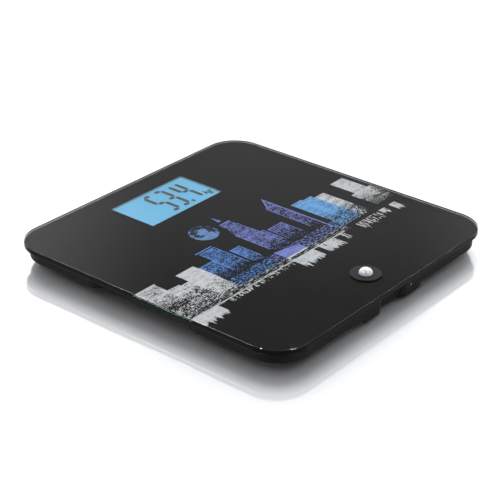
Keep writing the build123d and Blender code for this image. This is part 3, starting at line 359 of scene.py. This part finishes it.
def night_print():
    """The print under the glass: black, with a city and its moon in white, blue and violet."""
    paint = Paint("night print", Roughness=0.6, Specular_IOR_Level=0.0)
    vector, (x, y, z) = paint.place()
    x = x / MM
    y = y / MM
    # only the upper face of the film is inked; its back is plain black
    inked_face = z > (FILM_LOW.z + FILM_HIGH.z) / 2
    grain = paint.noise(paint.vector(x * 0.55, y * 1.1, 0.0), 1.0, 2.5, 0.7)
    coarse = paint.noise(paint.vector(x * 0.12, y * 0.2, 3.0), 1.0, 2.0, 0.6)
    # the lit windows grow sparser towards the street
    thin = (y * -1.0).rise(14.0, 46.0) * 0.14
    fleck = grain * 0.74 + coarse * 0.26 - thin

    # every piece of the town adds to one mask, which starts empty
    lit = x * 0.0
    for left, right, top, lean, dark in TOWERS:
        roof = (x - left) * lean + top
        whole = x.between(left, right) * y.between(STREET - 3.0, roof)
        rim = 1 - x.between(left + 0.8, right - 0.8) * (y < roof - 0.9)
        rim = rim * (y > STREET + 16.0)
        lit = lit.either(whole * (fleck > dark).either(rim))

    for left, right, level in ROOF_SLABS:
        lit = lit.either(x.between(left, right) * y.between(level - ROOF_SLAB, level))

    # the tall stepped tower: a waist that tapers to its crown, then a thin spire
    waist = (y - 9.0) / 15.0
    crown = x.between(-9.0, 4.8) * y.between(9.0, 32.0)
    flank = (x > waist * 6.0 - 14.5) * (x < 6.5) * y.between(9.0, 24.0)
    lit = lit.either(crown.either(flank) * (fleck > 0.5))
    spire = ((x + 2.2).math("ABSOLUTE") < (48.0 - y) * 0.19) * y.between(37.0, 48.0)
    lit = lit.either(spire)

    # the slender tower with the slanted head
    slant = (x - HEAD_LEFT) * 1.35 + 23.0
    head = x.between(HEAD_LEFT, HEAD_RIGHT) * (y < slant) * y.between(18.0, 60.0)
    outline = (y > slant - 2.2).either(x < HEAD_LEFT + 1.1).either(x > MAST_LEFT)
    head = head * (fleck > 0.53).either(outline)
    mast = x.between(MAST_LEFT, HEAD_RIGHT) * y.between(STREET, 34.0)
    lit = lit.either(head.either(mast))

    # low roofs along the street, the quay and the boats
    bank = paint.noise(paint.vector(x * 0.3, y * 0.75, 7.0), 1.0, 3.0, 0.65)
    quay = paint.noise(paint.vector(x * 0.14, y * 0.9, 11.0), 1.0, 3.0, 0.7)
    low_roofs = y.between(STREET - 6.0, STREET + 7.7) * x.between(-150, 101)
    lit = lit.either(low_roofs * (bank > 0.535))
    shore = y.between(SHORE - 2.0, STREET - 4.5)
    lit = lit.either(shore * (quay > 0.56) * x.between(-147, 64))
    lit = lit.either(y.between(SHORE - 1.0, SHORE + 0.4) * (quay > 0.43) * x.between(-146, 56))
    stage_roof = STREET + 9.0 - (x + 17.5) * 0.22
    stage = x.between(-17.5, 9.5) * y.between(STREET - 7.5, STREET + 9.0) * (y < stage_roof)
    lit = lit.either(stage)

    # broken reflections hang below the shore
    fall = paint.noise(paint.vector(x * 0.32, 0.0, 19.0), 1.0, 2.0, 0.6)
    streak = paint.noise(paint.vector(x * 0.55, y * 0.12, 23.0), 1.0, 2.0, 0.6)
    for left, right, reach, dark in REFLECTIONS:
        below = (SHORE - y) / reach
        hang = x.between(left, right) * (below > 0.0) * (below < fall * 1.6 - 0.1)
        lit = lit.either(hang * (streak > dark))

    # the moon, with darker plains
    moon_x = x - MOON_PLACE[0]
    moon_y = y - MOON_PLACE[1]
    disc = moon_x * moon_x + moon_y * moon_y < MOON_RADIUS * MOON_RADIUS
    plains = paint.noise(paint.vector(x * 0.13, y * 0.13, 31.0), 1.0, 4.0, 0.62)
    south = (moon_y / -14.0).clipped() * 0.12
    craters = paint.noise(paint.vector(x * 0.6, y * 0.6, 37.0), 1.0, 2.0, 0.6)
    bright_ground = (plains + south + craters * 0.12 - 0.06).rise(0.485, 0.52)
    moonlight = disc * (0.05 + 0.95 * bright_ground)

    # the town's ink changes across the plate; below the quay it is grey
    width = (PLATE_HIGH.x - PLATE_LOW.x) / MM
    town = paint.ramp((x + width / 2) / width, TOWN_INKS, "CONSTANT")
    ink = paint.mix(y > STREET - 5.5, INK_GREY, town)
    ink = paint.mix(disc, ink, INK_MOON)
    speck = paint.noise(paint.vector(x * 1.3, y * 1.9, 41.0), 1.0, 1.0, 0.5)
    cover = 0.70 + 0.20 * coarse.rise(0.35, 0.6) + 0.10 * speck.rise(0.4, 0.6)
    light = lit.either(moonlight) * cover * inked_face
    black = paint.mix(paint.noise(vector, 30.0), (0.0035, 0.0033, 0.0036), (0.006, 0.0056, 0.006))
    paint.show(Base_Color=paint.mix(light, black, ink))
    return paint.material


def moulding(name, colour, roughness, gloss=0.5):
    """Textured plastic: a fine spark-eroded grain with slightly uneven gloss."""
    paint = Paint(name, Specular_IOR_Level=gloss)
    vector, _ = paint.place()
    cloud = paint.noise(vector, 22.0, 3.0)
    fine = paint.noise(vector, 2600.0, 2.0)
    paler = tuple(min(1.0, c * 1.35 + 0.002) for c in colour)
    paint.show(Base_Color=paint.mix(cloud.rise(0.3, 0.75), colour, paler))
    paint.show(Roughness=roughness - 0.05 + cloud * 0.1)
    paint.bump(fine, 0.35, 0.012 * MM)
    return paint.material


def rubber(name, colour):
    """Soft matt rubber with a little bloom."""
    paint = Paint(name, Specular_IOR_Level=0.35)
    vector, _ = paint.place()
    bloom = paint.noise(vector, 160.0, 4.0).rise(0.45, 0.75)
    paler = tuple(c * 1.8 + 0.01 for c in colour)
    paint.show(Base_Color=paint.mix(bloom, colour, paler), Roughness=0.78 + bloom * 0.12)
    paint.bump(paint.noise(vector, 3200.0, 3.0), 0.4, 0.02 * MM)
    return paint.material


def sheet_steel(name, colour, roughness):
    """Rolled or plated steel with a drawn grain."""
    paint = Paint(name, Metallic=1.0)
    vector, (x, y, z) = paint.place()
    grain = paint.noise(paint.vector(x, y * 0.06, z * 0.06), 900.0, 3.0)
    stain = paint.noise(vector, 60.0, 3.0).rise(0.4, 0.8)
    darker = tuple(c * 0.72 for c in colour)
    paint.show(Base_Color=paint.mix(stain * 0.6, colour, darker), Roughness=roughness + grain * 0.14)
    paint.bump(grain, 0.2, 0.01 * MM)
    return paint.material


def circuit_board():
    """Green lacquer over copper tracks."""
    paint = Paint("circuit board", Roughness=0.32)
    vector, (x, y, _) = paint.place()
    lanes = ((x * 420.0).part() < 0.45) * (paint.noise(vector, 70.0, 0.0) > 0.5)
    rows = ((y * 380.0).part() < 0.42) * (paint.noise(vector, 55.0, 0.0) < 0.47)
    tracks = lanes.either(rows)
    paint.show(Base_Color=paint.mix(tracks, (0.010, 0.085, 0.035), (0.018, 0.15, 0.06)))
    paint.bump(tracks, 0.5, 0.035 * MM)
    return paint.material


def cell_wrap():
    """Shrink sleeve of a plain cell: dark body, a coppery band at each end, no lettering."""
    paint = Paint("cell wrap", Coat_Weight=0.6, Metallic=0.35)
    vector, (x, _, _) = paint.place()
    wear = paint.noise(vector, 240.0, 3.0).rise(0.55, 0.8)
    band = (x / MM).math("ABSOLUTE") > 12.0
    colour = paint.mix(band, (0.045, 0.05, 0.06), (0.42, 0.19, 0.07))
    paint.show(Base_Color=paint.mix(wear * 0.3, colour, (0.5, 0.48, 0.45)), Roughness=0.28 + wear * 0.2)
    return paint.material


def backlit_film():
    """Blue film over the display, lit from behind a little unevenly."""
    paint = Paint("backlit film", Roughness=0.6, Specular_IOR_Level=0.0, Emission_Strength=1.0)
    vector, (x, _, _) = paint.place()
    drift = paint.noise(vector, 14.0, 2.0)
    toward_edge = (x.math("ABSOLUTE") / (WINDOW_SIZE[0] / 2)).rise(0.2, 1.1)
    glow = (0.25 + toward_edge * 0.45 + drift * 0.3).clipped()
    paint.show(Base_Color=paint.mix(drift, (0.03, 0.08, 0.13), (0.035, 0.09, 0.15)))
    paint.show(Emission_Color=paint.mix(glow, (0.095, 0.37, 0.60), (0.15, 0.43, 0.66)))
    return paint.material


def display_ink():
    """The dark segments of the display."""
    paint = Paint("display ink", Roughness=0.5, Specular_IOR_Level=0.2)
    vector, _ = paint.place()
    patch = paint.noise(vector, 500.0, 2.0)
    paint.show(Base_Color=paint.mix(patch, (0.018, 0.011, 0.008), (0.045, 0.030, 0.024)))
    return paint.material


def gasket_silicone():
    """Pale silicone frame that glows a little with the light behind the display."""
    paint = Paint("gasket silicone", Roughness=0.6, Emission_Strength=0.12)
    vector, _ = paint.place()
    drift = paint.noise(vector, 120.0, 2.0)
    paint.show(Base_Color=paint.mix(drift, (0.06, 0.15, 0.21), (0.08, 0.19, 0.25)))
    paint.show(Emission_Color=paint.mix(drift, (0.06, 0.24, 0.40), (0.09, 0.30, 0.48)))
    return paint.material


def milky_lens():
    """Milky lens plastic with faint lavender clouds in it, and a painted glow in place of light falling
    on the dome.
    """
    scatter = {"Subsurface_Weight": 0.35, "Subsurface_Scale": 0.001, "Subsurface_Radius": (1.0, 1.0, 1.2)}
    # painted light: a faint emission makes the lens glow though it is no lamp
    paint = Paint("milky lens", Roughness=0.22, Coat_Weight=0.3, Emission_Strength=0.22, **scatter)
    vector, _ = paint.place()
    drift = paint.noise(vector, 420.0, 2.0).rise(0.35, 0.7)
    paint.show(Base_Color=paint.mix(drift, (0.82, 0.83, 0.90), (0.96, 0.97, 1.0)))
    # the painted glow is bluish and uneven with the clouds
    paint.show(Emission_Color=paint.mix(drift, (0.55, 0.60, 0.85), (0.95, 0.97, 1.0)))
    paint.bump(paint.noise(vector, 1500.0, 1.0), 0.15, 0.02 * MM)
    return paint.material


def tinted_resin(name, colour, paler, roughness=0.2):
    """Cast resin with a faint cloudiness."""
    paint = Paint(name, Coat_Weight=0.4)
    vector, _ = paint.place()
    cloud = paint.noise(vector, 300.0, 3.0)
    paint.show(Base_Color=paint.mix(cloud, colour, paler), Roughness=roughness + cloud * 0.1)
    return paint.material


def floor_paint():
    """Polished white board that mirrors what stands on it."""
    paint = Paint("floor paint", Roughness=0.6, Specular_IOR_Level=0.0)
    vector, _ = paint.place()
    drift = paint.noise(vector, 3.0, 2.0)
    paint.show(Base_Color=paint.mix(drift, (0.76, 0.77, 0.79), (0.78, 0.79, 0.81)))
    polish = paint.node("ShaderNodeBsdfGlossy", {}, {"Color": (1, 1, 1, 1), "Roughness": 0.03})
    matt = Field(paint, paint.surface.outputs[0])
    both = paint.node("ShaderNodeAddShader", {}, [matt, polish])
    paint.feed(paint.output.inputs["Surface"], both)
    return paint.material


# ---------------------------------------------------------------- modelling helpers

def settle(piece, name, body, material):
    """Names a finished piece, gives it its finish and the body it moves with."""
    piece.name = name
    piece.data.name = name
    piece.data.materials.clear()
    piece.data.materials.append(material)
    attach(piece, body)
    return piece


def block(low, high):
    """A box between two corners, its place in its mesh."""
    bpy.ops.object.select_all(action="DESELECT")
    middle = (Vector(low) + Vector(high)) / 2
    bpy.ops.mesh.primitive_cube_add(size=1, location=middle)
    piece = bpy.context.object
    piece.scale = Vector(high) - Vector(low)
    bpy.ops.object.transform_apply(location=True, rotation=True, scale=True)
    return piece


def pick_edges(piece, wanted):
    """Enters edit mode with only the edges chosen by wanted(start, end) selected."""
    bpy.ops.object.mode_set(mode="EDIT")
    bpy.ops.mesh.select_mode(type="EDGE")
    bpy.ops.mesh.select_all(action="DESELECT")
    bpy.ops.object.mode_set(mode="OBJECT")
    points = piece.data.vertices
    for edge in piece.data.edges:
        edge.select = wanted(points[edge.vertices[0]].co, points[edge.vertices[1]].co)
    bpy.ops.object.mode_set(mode="EDIT")


def bevel(width, segments):
    """Rounds the selected edges and leaves edit mode."""
    bpy.ops.mesh.bevel(offset=width, segments=segments, profile=0.5, affect="EDGES")
    bpy.ops.object.mode_set(mode="OBJECT")


def cut_out(piece, tool):
    """Takes one piece out of another and removes the tool."""
    bpy.context.view_layer.objects.active = piece
    cut = piece.modifiers.new("cut", "BOOLEAN")
    cut.operation = "DIFFERENCE"
    cut.solver = "EXACT"
    cut.object = tool
    bpy.ops.object.modifier_apply(modifier=cut.name)
    bpy.data.objects.remove(tool)


def smooth(piece):
    """Shades smooth, except across sharp edges."""
    bpy.ops.object.select_all(action="DESELECT")
    piece.select_set(True)
    bpy.context.view_layer.objects.active = piece
    bpy.ops.object.shade_smooth_by_angle(angle=math.radians(SHARP_TURN))


def sensor_hole_bar(low, high):
    """A round bar that cuts the sensor's hole between two heights."""
    bpy.ops.object.select_all(action="DESELECT")
    place = (0, SENSOR_CENTRE.y, (low + high) / 2)
    size = {"vertices": 96, "radius": PLATE_HOLE / 2, "depth": high - low}
    bpy.ops.mesh.primitive_cylinder_add(location=place, **size)
    bpy.ops.object.transform_apply(location=True, rotation=True, scale=True)
    return bpy.context.object


def rounded_slab(low, high, corner, segments=40):
    """A flat slab with four round corners."""
    piece = block(low, high)
    pick_edges(piece, lambda a, b: abs(a.z - b.z) > abs(high[2] - low[2]) * 0.9)
    bevel(corner, segments)
    return piece


# ---------------------------------------------------------------- pieces

def glass_plate():
    """The platform: polished edges with a small ground arris, and the sensor's hole."""
    piece = rounded_slab(PLATE_LOW, PLATE_HIGH, PLATE_CORNER)
    pick_edges(piece, lambda a, b: abs(a.z - b.z) < SAME_LEVEL)
    bevel(PLATE_ARRIS, ARRIS_STEPS)
    cut_out(piece, sensor_hole_bar(PLATE_LOW.z - MM, PLATE_HIGH.z + MM))
    # the broad faces stay flat, so that they mirror like a plane
    smooth(piece)
    settle(piece, "glass_plate", BODY, clear_glass())
    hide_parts("glass_platform")


def print_layer():
    """The print, bonded to the underside of the glass, open at the display and the sensor."""
    high = FILM_HIGH + Vector((0, 0, PRINT_LAP))
    setback = FILM_LOW.x - PLATE_LOW.x
    piece = rounded_slab(FILM_LOW, high, PLATE_CORNER - setback)
    window_y = (POLARISER_LOW.y + POLARISER_HIGH.y) / 2
    half_x, half_y = WINDOW_SIZE[0] / 2, WINDOW_SIZE[1] / 2
    low = Vector((-half_x, window_y - half_y, FILM_LOW.z - MM))
    top = Vector((half_x, window_y + half_y, FILM_HIGH.z + MM))
    cut_out(piece, rounded_slab(low, top, WINDOW_CORNER, 6))
    cut_out(piece, sensor_hole_bar(FILM_LOW.z - MM, FILM_HIGH.z + MM))
    settle(piece, "night_print_layer", BODY, night_print())
    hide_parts("backprint_film")


# the figures are laid out in millimetres
SEGMENT_STROKE = 4.0
SEGMENT_GAP = 0.55
SEGMENT_THICKNESS = 0.06
DIGIT_WIDTH = 12.6
DIGIT_HEIGHT = 40.5
DIGIT_BOTTOM = 83.4
DIGIT_LEFTS = (("5", -11.6), ("3", 2.4), ("4", 21.6))
POINT_LEFT = 16.6
POINT_SIZE = (3.4, 3.8)
POINT_RISE = 0.4
UNIT_PLACE = (35.2, 1.6)
UNIT_SIZE = 10.2
DIGIT_SEGMENTS = {"5": "afgcd", "3": "abgcd", "4": "fgbc"}


def segment_bar(x0, y0, x1, y1):
    """One display segment: a thin bar whose ends are cut to points at 45 degrees."""
    level = POLARISER_HIGH.z
    half = SEGMENT_STROKE / 2
    flat = y0 == y1
    low = (min(x0, x1) - (0 if flat else half), min(y0, y1) - (half if flat else 0))
    high = (max(x0, x1) + (0 if flat else half), max(y0, y1) + (half if flat else 0))
    top = level + SEGMENT_THICKNESS * MM
    piece = block((low[0] * MM, low[1] * MM, level), (high[0] * MM, high[1] * MM, top))
    for along in (-1, 1):
        for across in (-1, 1):
            if flat:
                tip = Vector(((x0 if along < 0 else x1) * MM, y0 * MM, level))
                facing = Vector((along, across, 0))
            else:
                tip = Vector((x0 * MM, (y0 if along < 0 else y1) * MM, level))
                facing = Vector((across, along, 0))
            bpy.ops.object.mode_set(mode="EDIT")
            bpy.ops.mesh.select_all(action="SELECT")
            bpy.ops.mesh.bisect(plane_co=tip, plane_no=facing, use_fill=True, clear_outer=True)
            bpy.ops.object.mode_set(mode="OBJECT")
    return piece


def digit_bars(figure, left, bottom):
    """The bars of one seven-segment figure."""
    gap = SEGMENT_GAP
    w, h, s = DIGIT_WIDTH, DIGIT_HEIGHT, SEGMENT_STROKE
    west, east = left + s / 2, left + w - s / 2
    south, middle, north = bottom + s / 2, bottom + h / 2, bottom + h - s / 2
    places = {
        "a": (west + gap, north, east - gap, north),
        "g": (west + gap, middle, east - gap, middle),
        "d": (west + gap, south, east - gap, south),
        "f": (west, middle + gap, west, north - gap),
        "b": (east, middle + gap, east, north - gap),
        "e": (west, south + gap, west, middle - gap),
        "c": (east, south + gap, east, middle - gap),
    }
    return [segment_bar(*places[key]) for key in DIGIT_SEGMENTS[figure]]


def join(pieces):
    """Makes one piece of several."""
    bpy.ops.object.select_all(action="DESELECT")
    for piece in pieces:
        piece.select_set(True)
    bpy.context.view_layer.objects.active = pieces[0]
    bpy.ops.object.join()
    return bpy.context.object


def display_figures():
    """A weight of 53.4 kg in dark segments."""
    bars = [bar for figure, left in DIGIT_LEFTS for bar in digit_bars(figure, left, DIGIT_BOTTOM)]
    level = POLARISER_HIGH.z
    low = Vector((POINT_LEFT * MM, (DIGIT_BOTTOM + POINT_RISE) * MM, level))
    size = Vector((POINT_SIZE[0] * MM, POINT_SIZE[1] * MM, SEGMENT_THICKNESS * MM))
    point = block(low, low + size)
    bpy.ops.object.select_all(action="DESELECT")
    unit_place = (UNIT_PLACE[0] * MM, (DIGIT_BOTTOM + UNIT_PLACE[1]) * MM, level)
    bpy.ops.object.text_add(location=unit_place)
    unit = bpy.context.object
    unit.data.body = "kg"
    unit.data.size = UNIT_SIZE * MM
    unit.data.shear = 0.3
    unit.data.extrude = SEGMENT_THICKNESS / 2 * MM
    unit.data.offset = 0.28 * MM
    bpy.ops.object.convert(target="MESH")
    unit = bpy.context.object
    bpy.ops.object.transform_apply(location=True, rotation=True, scale=True)
    piece = join(bars + [point, unit])
    bpy.ops.object.mode_set(mode="EDIT")
    bpy.ops.mesh.select_all(action="SELECT")
    bpy.ops.mesh.remove_doubles(threshold=1e-7)
    bpy.ops.mesh.normals_make_consistent(inside=False)
    bpy.ops.object.mode_set(mode="OBJECT")
    settle(piece, "display_figures", BODY, display_ink())


def faceted_dome():
    """The sensor's lens: a dome of small flat facets on a round skirt."""
    base = BEZEL_HIGH.z
    rise = DOME_HIGH.z - base
    centre = Vector((0, SENSOR_CENTRE.y, base))
    bpy.ops.object.select_all(action="DESELECT")
    bpy.ops.mesh.primitive_ico_sphere_add(subdivisions=3, radius=DOME_RADIUS, location=(0, 0, 0))
    piece = bpy.context.object
    bpy.ops.object.mode_set(mode="EDIT")
    bpy.ops.mesh.select_all(action="SELECT")
    bpy.ops.mesh.bisect(plane_co=(0, 0, 0), plane_no=(0, 0, -1), clear_outer=True, use_fill=False)
    bpy.ops.object.mode_set(mode="OBJECT")
    piece.scale = (1, 1, rise / DOME_RADIUS)
    piece.location = centre
    bpy.ops.object.transform_apply(location=True, rotation=True, scale=True)
    pick_edges(piece, lambda a, b: max(a.z, b.z) < base + SAME_LEVEL)
    skirt = base - DOME_LOW.z
    bpy.ops.mesh.extrude_region_move(TRANSFORM_OT_translate={"value": (0, 0, -skirt)})
    bpy.ops.mesh.fill()
    bpy.ops.mesh.select_all(action="SELECT")
    bpy.ops.mesh.normals_make_consistent(inside=False)
    bpy.ops.object.mode_set(mode="OBJECT")
    pick_edges(piece, lambda a, b: min(a.z, b.z) > base + SAME_LEVEL)
    bevel(FACET_EDGE, 1)
    smooth(piece)
    settle(piece, "faceted_dome", BODY, milky_lens())
    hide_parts("sensor_dome")


# ---------------------------------------------------------------- finishes on the CAD pieces

def dress_nodes():
    """Gives every CAD piece its own finish."""
    steel = sheet_steel("load cell steel", (0.42, 0.42, 0.43), 0.34)
    bright = sheet_steel("bright steel", (0.62, 0.61, 0.60), 0.2)
    contact = sheet_steel("contact steel", (0.60, 0.57, 0.50), 0.26)
    board = circuit_board()
    natural = moulding("natural moulding", (0.60, 0.59, 0.55), 0.5)
    foot = moulding("foot moulding", (0.012, 0.012, 0.0125), 0.5, 0.25)
    pad = rubber("pad rubber", (0.03, 0.03, 0.032))
    foam = rubber("foam", (0.008, 0.008, 0.008))
    wrap = cell_wrap()
    sheath = rubber("lead sheath", (0.30, 0.30, 0.29))
    finishes = {
        "base_tray": moulding("tray moulding", (0.005, 0.005, 0.0053), 0.5, 0.04),
        "battery_door": moulding("door moulding", (0.010, 0.010, 0.0105), 0.52, 0.2),
        "unit_button": moulding("button moulding", (0.16, 0.165, 0.17), 0.4),
        "sensor_bezel": moulding("bezel moulding", (0.014, 0.014, 0.0145), 0.55, 0.25),
        "sensor_lock_ring": natural,
        "battery_box": natural,
        "unit_switch": natural,
        "switch_plunger": natural,
        "lead_sockets": natural,
        "foam_tape": foam,
        "lcd_gasket": gasket_silicone(),
        "lcd_polariser": backlit_film(),
        "lcd_panel": tinted_resin("display glass", (0.10, 0.24, 0.36), (0.14, 0.30, 0.42), 0.1),
        "lcd_backlight": tinted_resin("light guide", (0.40, 0.62, 0.78), (0.50, 0.70, 0.84), 0.15),
        "zebra_strips": rubber("zebra rubber", (0.12, 0.12, 0.15)),
        "main_board": board,
        "sensor_board": board,
        "controller_chip": tinted_resin("chip resin", (0.010, 0.010, 0.010), (0.02, 0.02, 0.02), 0.35),
        "strain_gauges": tinted_resin("gauge resin", (0.62, 0.61, 0.56), (0.72, 0.71, 0.66), 0.4),
        "night_light_led": tinted_resin("lamp resin", (0.16, 0.175, 0.19), (0.24, 0.26, 0.28), 0.12),
        "motion_sensor_can": bright,
        "sensor_board_screws": bright,
        "main_board_screws": bright,
        "battery_contact_plates": contact,
        "battery_springs": contact,
        "battery_lead": sheath,
        "sensor_board_lead": sheath,
        "rating_label": tinted_resin("label stock", (0.40, 0.41, 0.42), (0.46, 0.47, 0.48), 0.3),
    }
    for number in (1, 2, 3):
        finishes[f"battery_cell_{number}"] = wrap
    for corner in CORNERS:
        finishes[f"sensor_housing_{corner}"] = natural
        finishes[f"load_cell_{corner}"] = steel
        finishes[f"load_cell_lead_{corner}"] = sheath
        finishes[f"foot_cap_{corner}"] = foot
        finishes[f"foot_pad_{corner}"] = pad
    for node, material in finishes.items():
        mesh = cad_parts[node].data
        mesh.materials.clear()
        mesh.materials.append(material)


# ---------------------------------------------------------------- the set

def lay_floor():
    """A wide pale board under the feet."""
    bpy.ops.object.select_all(action="DESELECT")
    bpy.ops.mesh.primitive_plane_add(size=12, location=(0, 0, 0))
    floor = bpy.context.object
    floor.name = "floor"
    floor.data.materials.append(floor_paint())


# height of the direction and how light the wall behind the set is there
WALL_GREYS = (
    (0.0, 1.0),
    (0.30, 0.60),
    (0.38, 0.36),
    (0.43, 0.305),
    (0.45, 0.285),
    (0.49, 0.19),
    (0.57, 0.17),
    (0.9, 0.30),
)
FRONT_GREY = 0.13


def grade_surround():
    """White to the eye; to the glass, a dim wall behind the set, darker in its middle."""
    world = bpy.data.worlds.new("surround")
    bpy.context.scene.world = world
    world.use_nodes = True
    sky = Nodes(world.node_tree)
    _, (x, y, z) = sky.place("Generated")
    behind = x * BEHIND[0] + y * BEHIND[1]
    aside = x * BEHIND[1] - y * BEHIND[0]
    wall = sky.ramp(z, [(height, (grey,) * 3) for height, grey in WALL_GREYS])
    left_wing = (aside * -1.0).rise(0.045, 0.175) * 0.5
    right_wing = aside.rise(0.09, 0.20) * 0.36
    room = (wall + left_wing + right_wing).math("MINIMUM", 1.0)
    level = FRONT_GREY + (room - FRONT_GREY) * behind.rise(-0.3, 0.5)
    seen = sky.node("ShaderNodeLightPath", {}, [], "Is Camera Ray")
    shade = sky.node("ShaderNodeMix", {}, {0: seen, 2: level, 3: 1.0})
    backdrop = world.node_tree.nodes["Background"]
    sky.feed(backdrop.inputs["Color"], shade)
    backdrop.inputs["Strength"].default_value = 1.0


def light_studio():
    """One broad soft light from behind the set, a weak one overhead, and three glints."""
    add_wide_light("back light", (BEHIND[0], BEHIND[1], 0.74), 52, 3.6)
    add_wide_light("top light", (0.1, 0.1, 1.0), 100, 0.45)
    add_glint("edge glint", (-0.465, 0.553, 0.69), 2.5, (1.0, 1.0), 5.0)

    # two lamps stand where the arris of the near corner mirrors them to the viewer
    reach, size, strength = 3.0, (0.5, 0.5), 60.0
    sight = SIGHT_AT_NEAR_CORNER
    centre = Vector((PLATE_LOW.x + PLATE_CORNER, PLATE_LOW.y + PLATE_CORNER, PLATE_HIGH.z))
    for name, turn in (("left corner glint", 194.0), ("right corner glint", 242.5)):
        outward = Vector((math.cos(math.radians(turn)), math.sin(math.radians(turn)), 0))
        facing = (outward + Vector((0, 0, 1))).normalized()
        mirrored = sight - 2 * sight.dot(facing) * facing
        place = centre + PLATE_CORNER * outward + reach * mirrored
        add_glint(name, place, place.length, size, strength)


add_camera()
grade_surround()
light_studio()
lay_floor()
dress_nodes()
glass_plate()
print_layer()
display_figures()
faceted_dome()

scene = bpy.context.scene
scene.view_settings.view_transform = "Standard"
scene.view_settings.look = "None"
scene.view_settings.exposure = 0.0
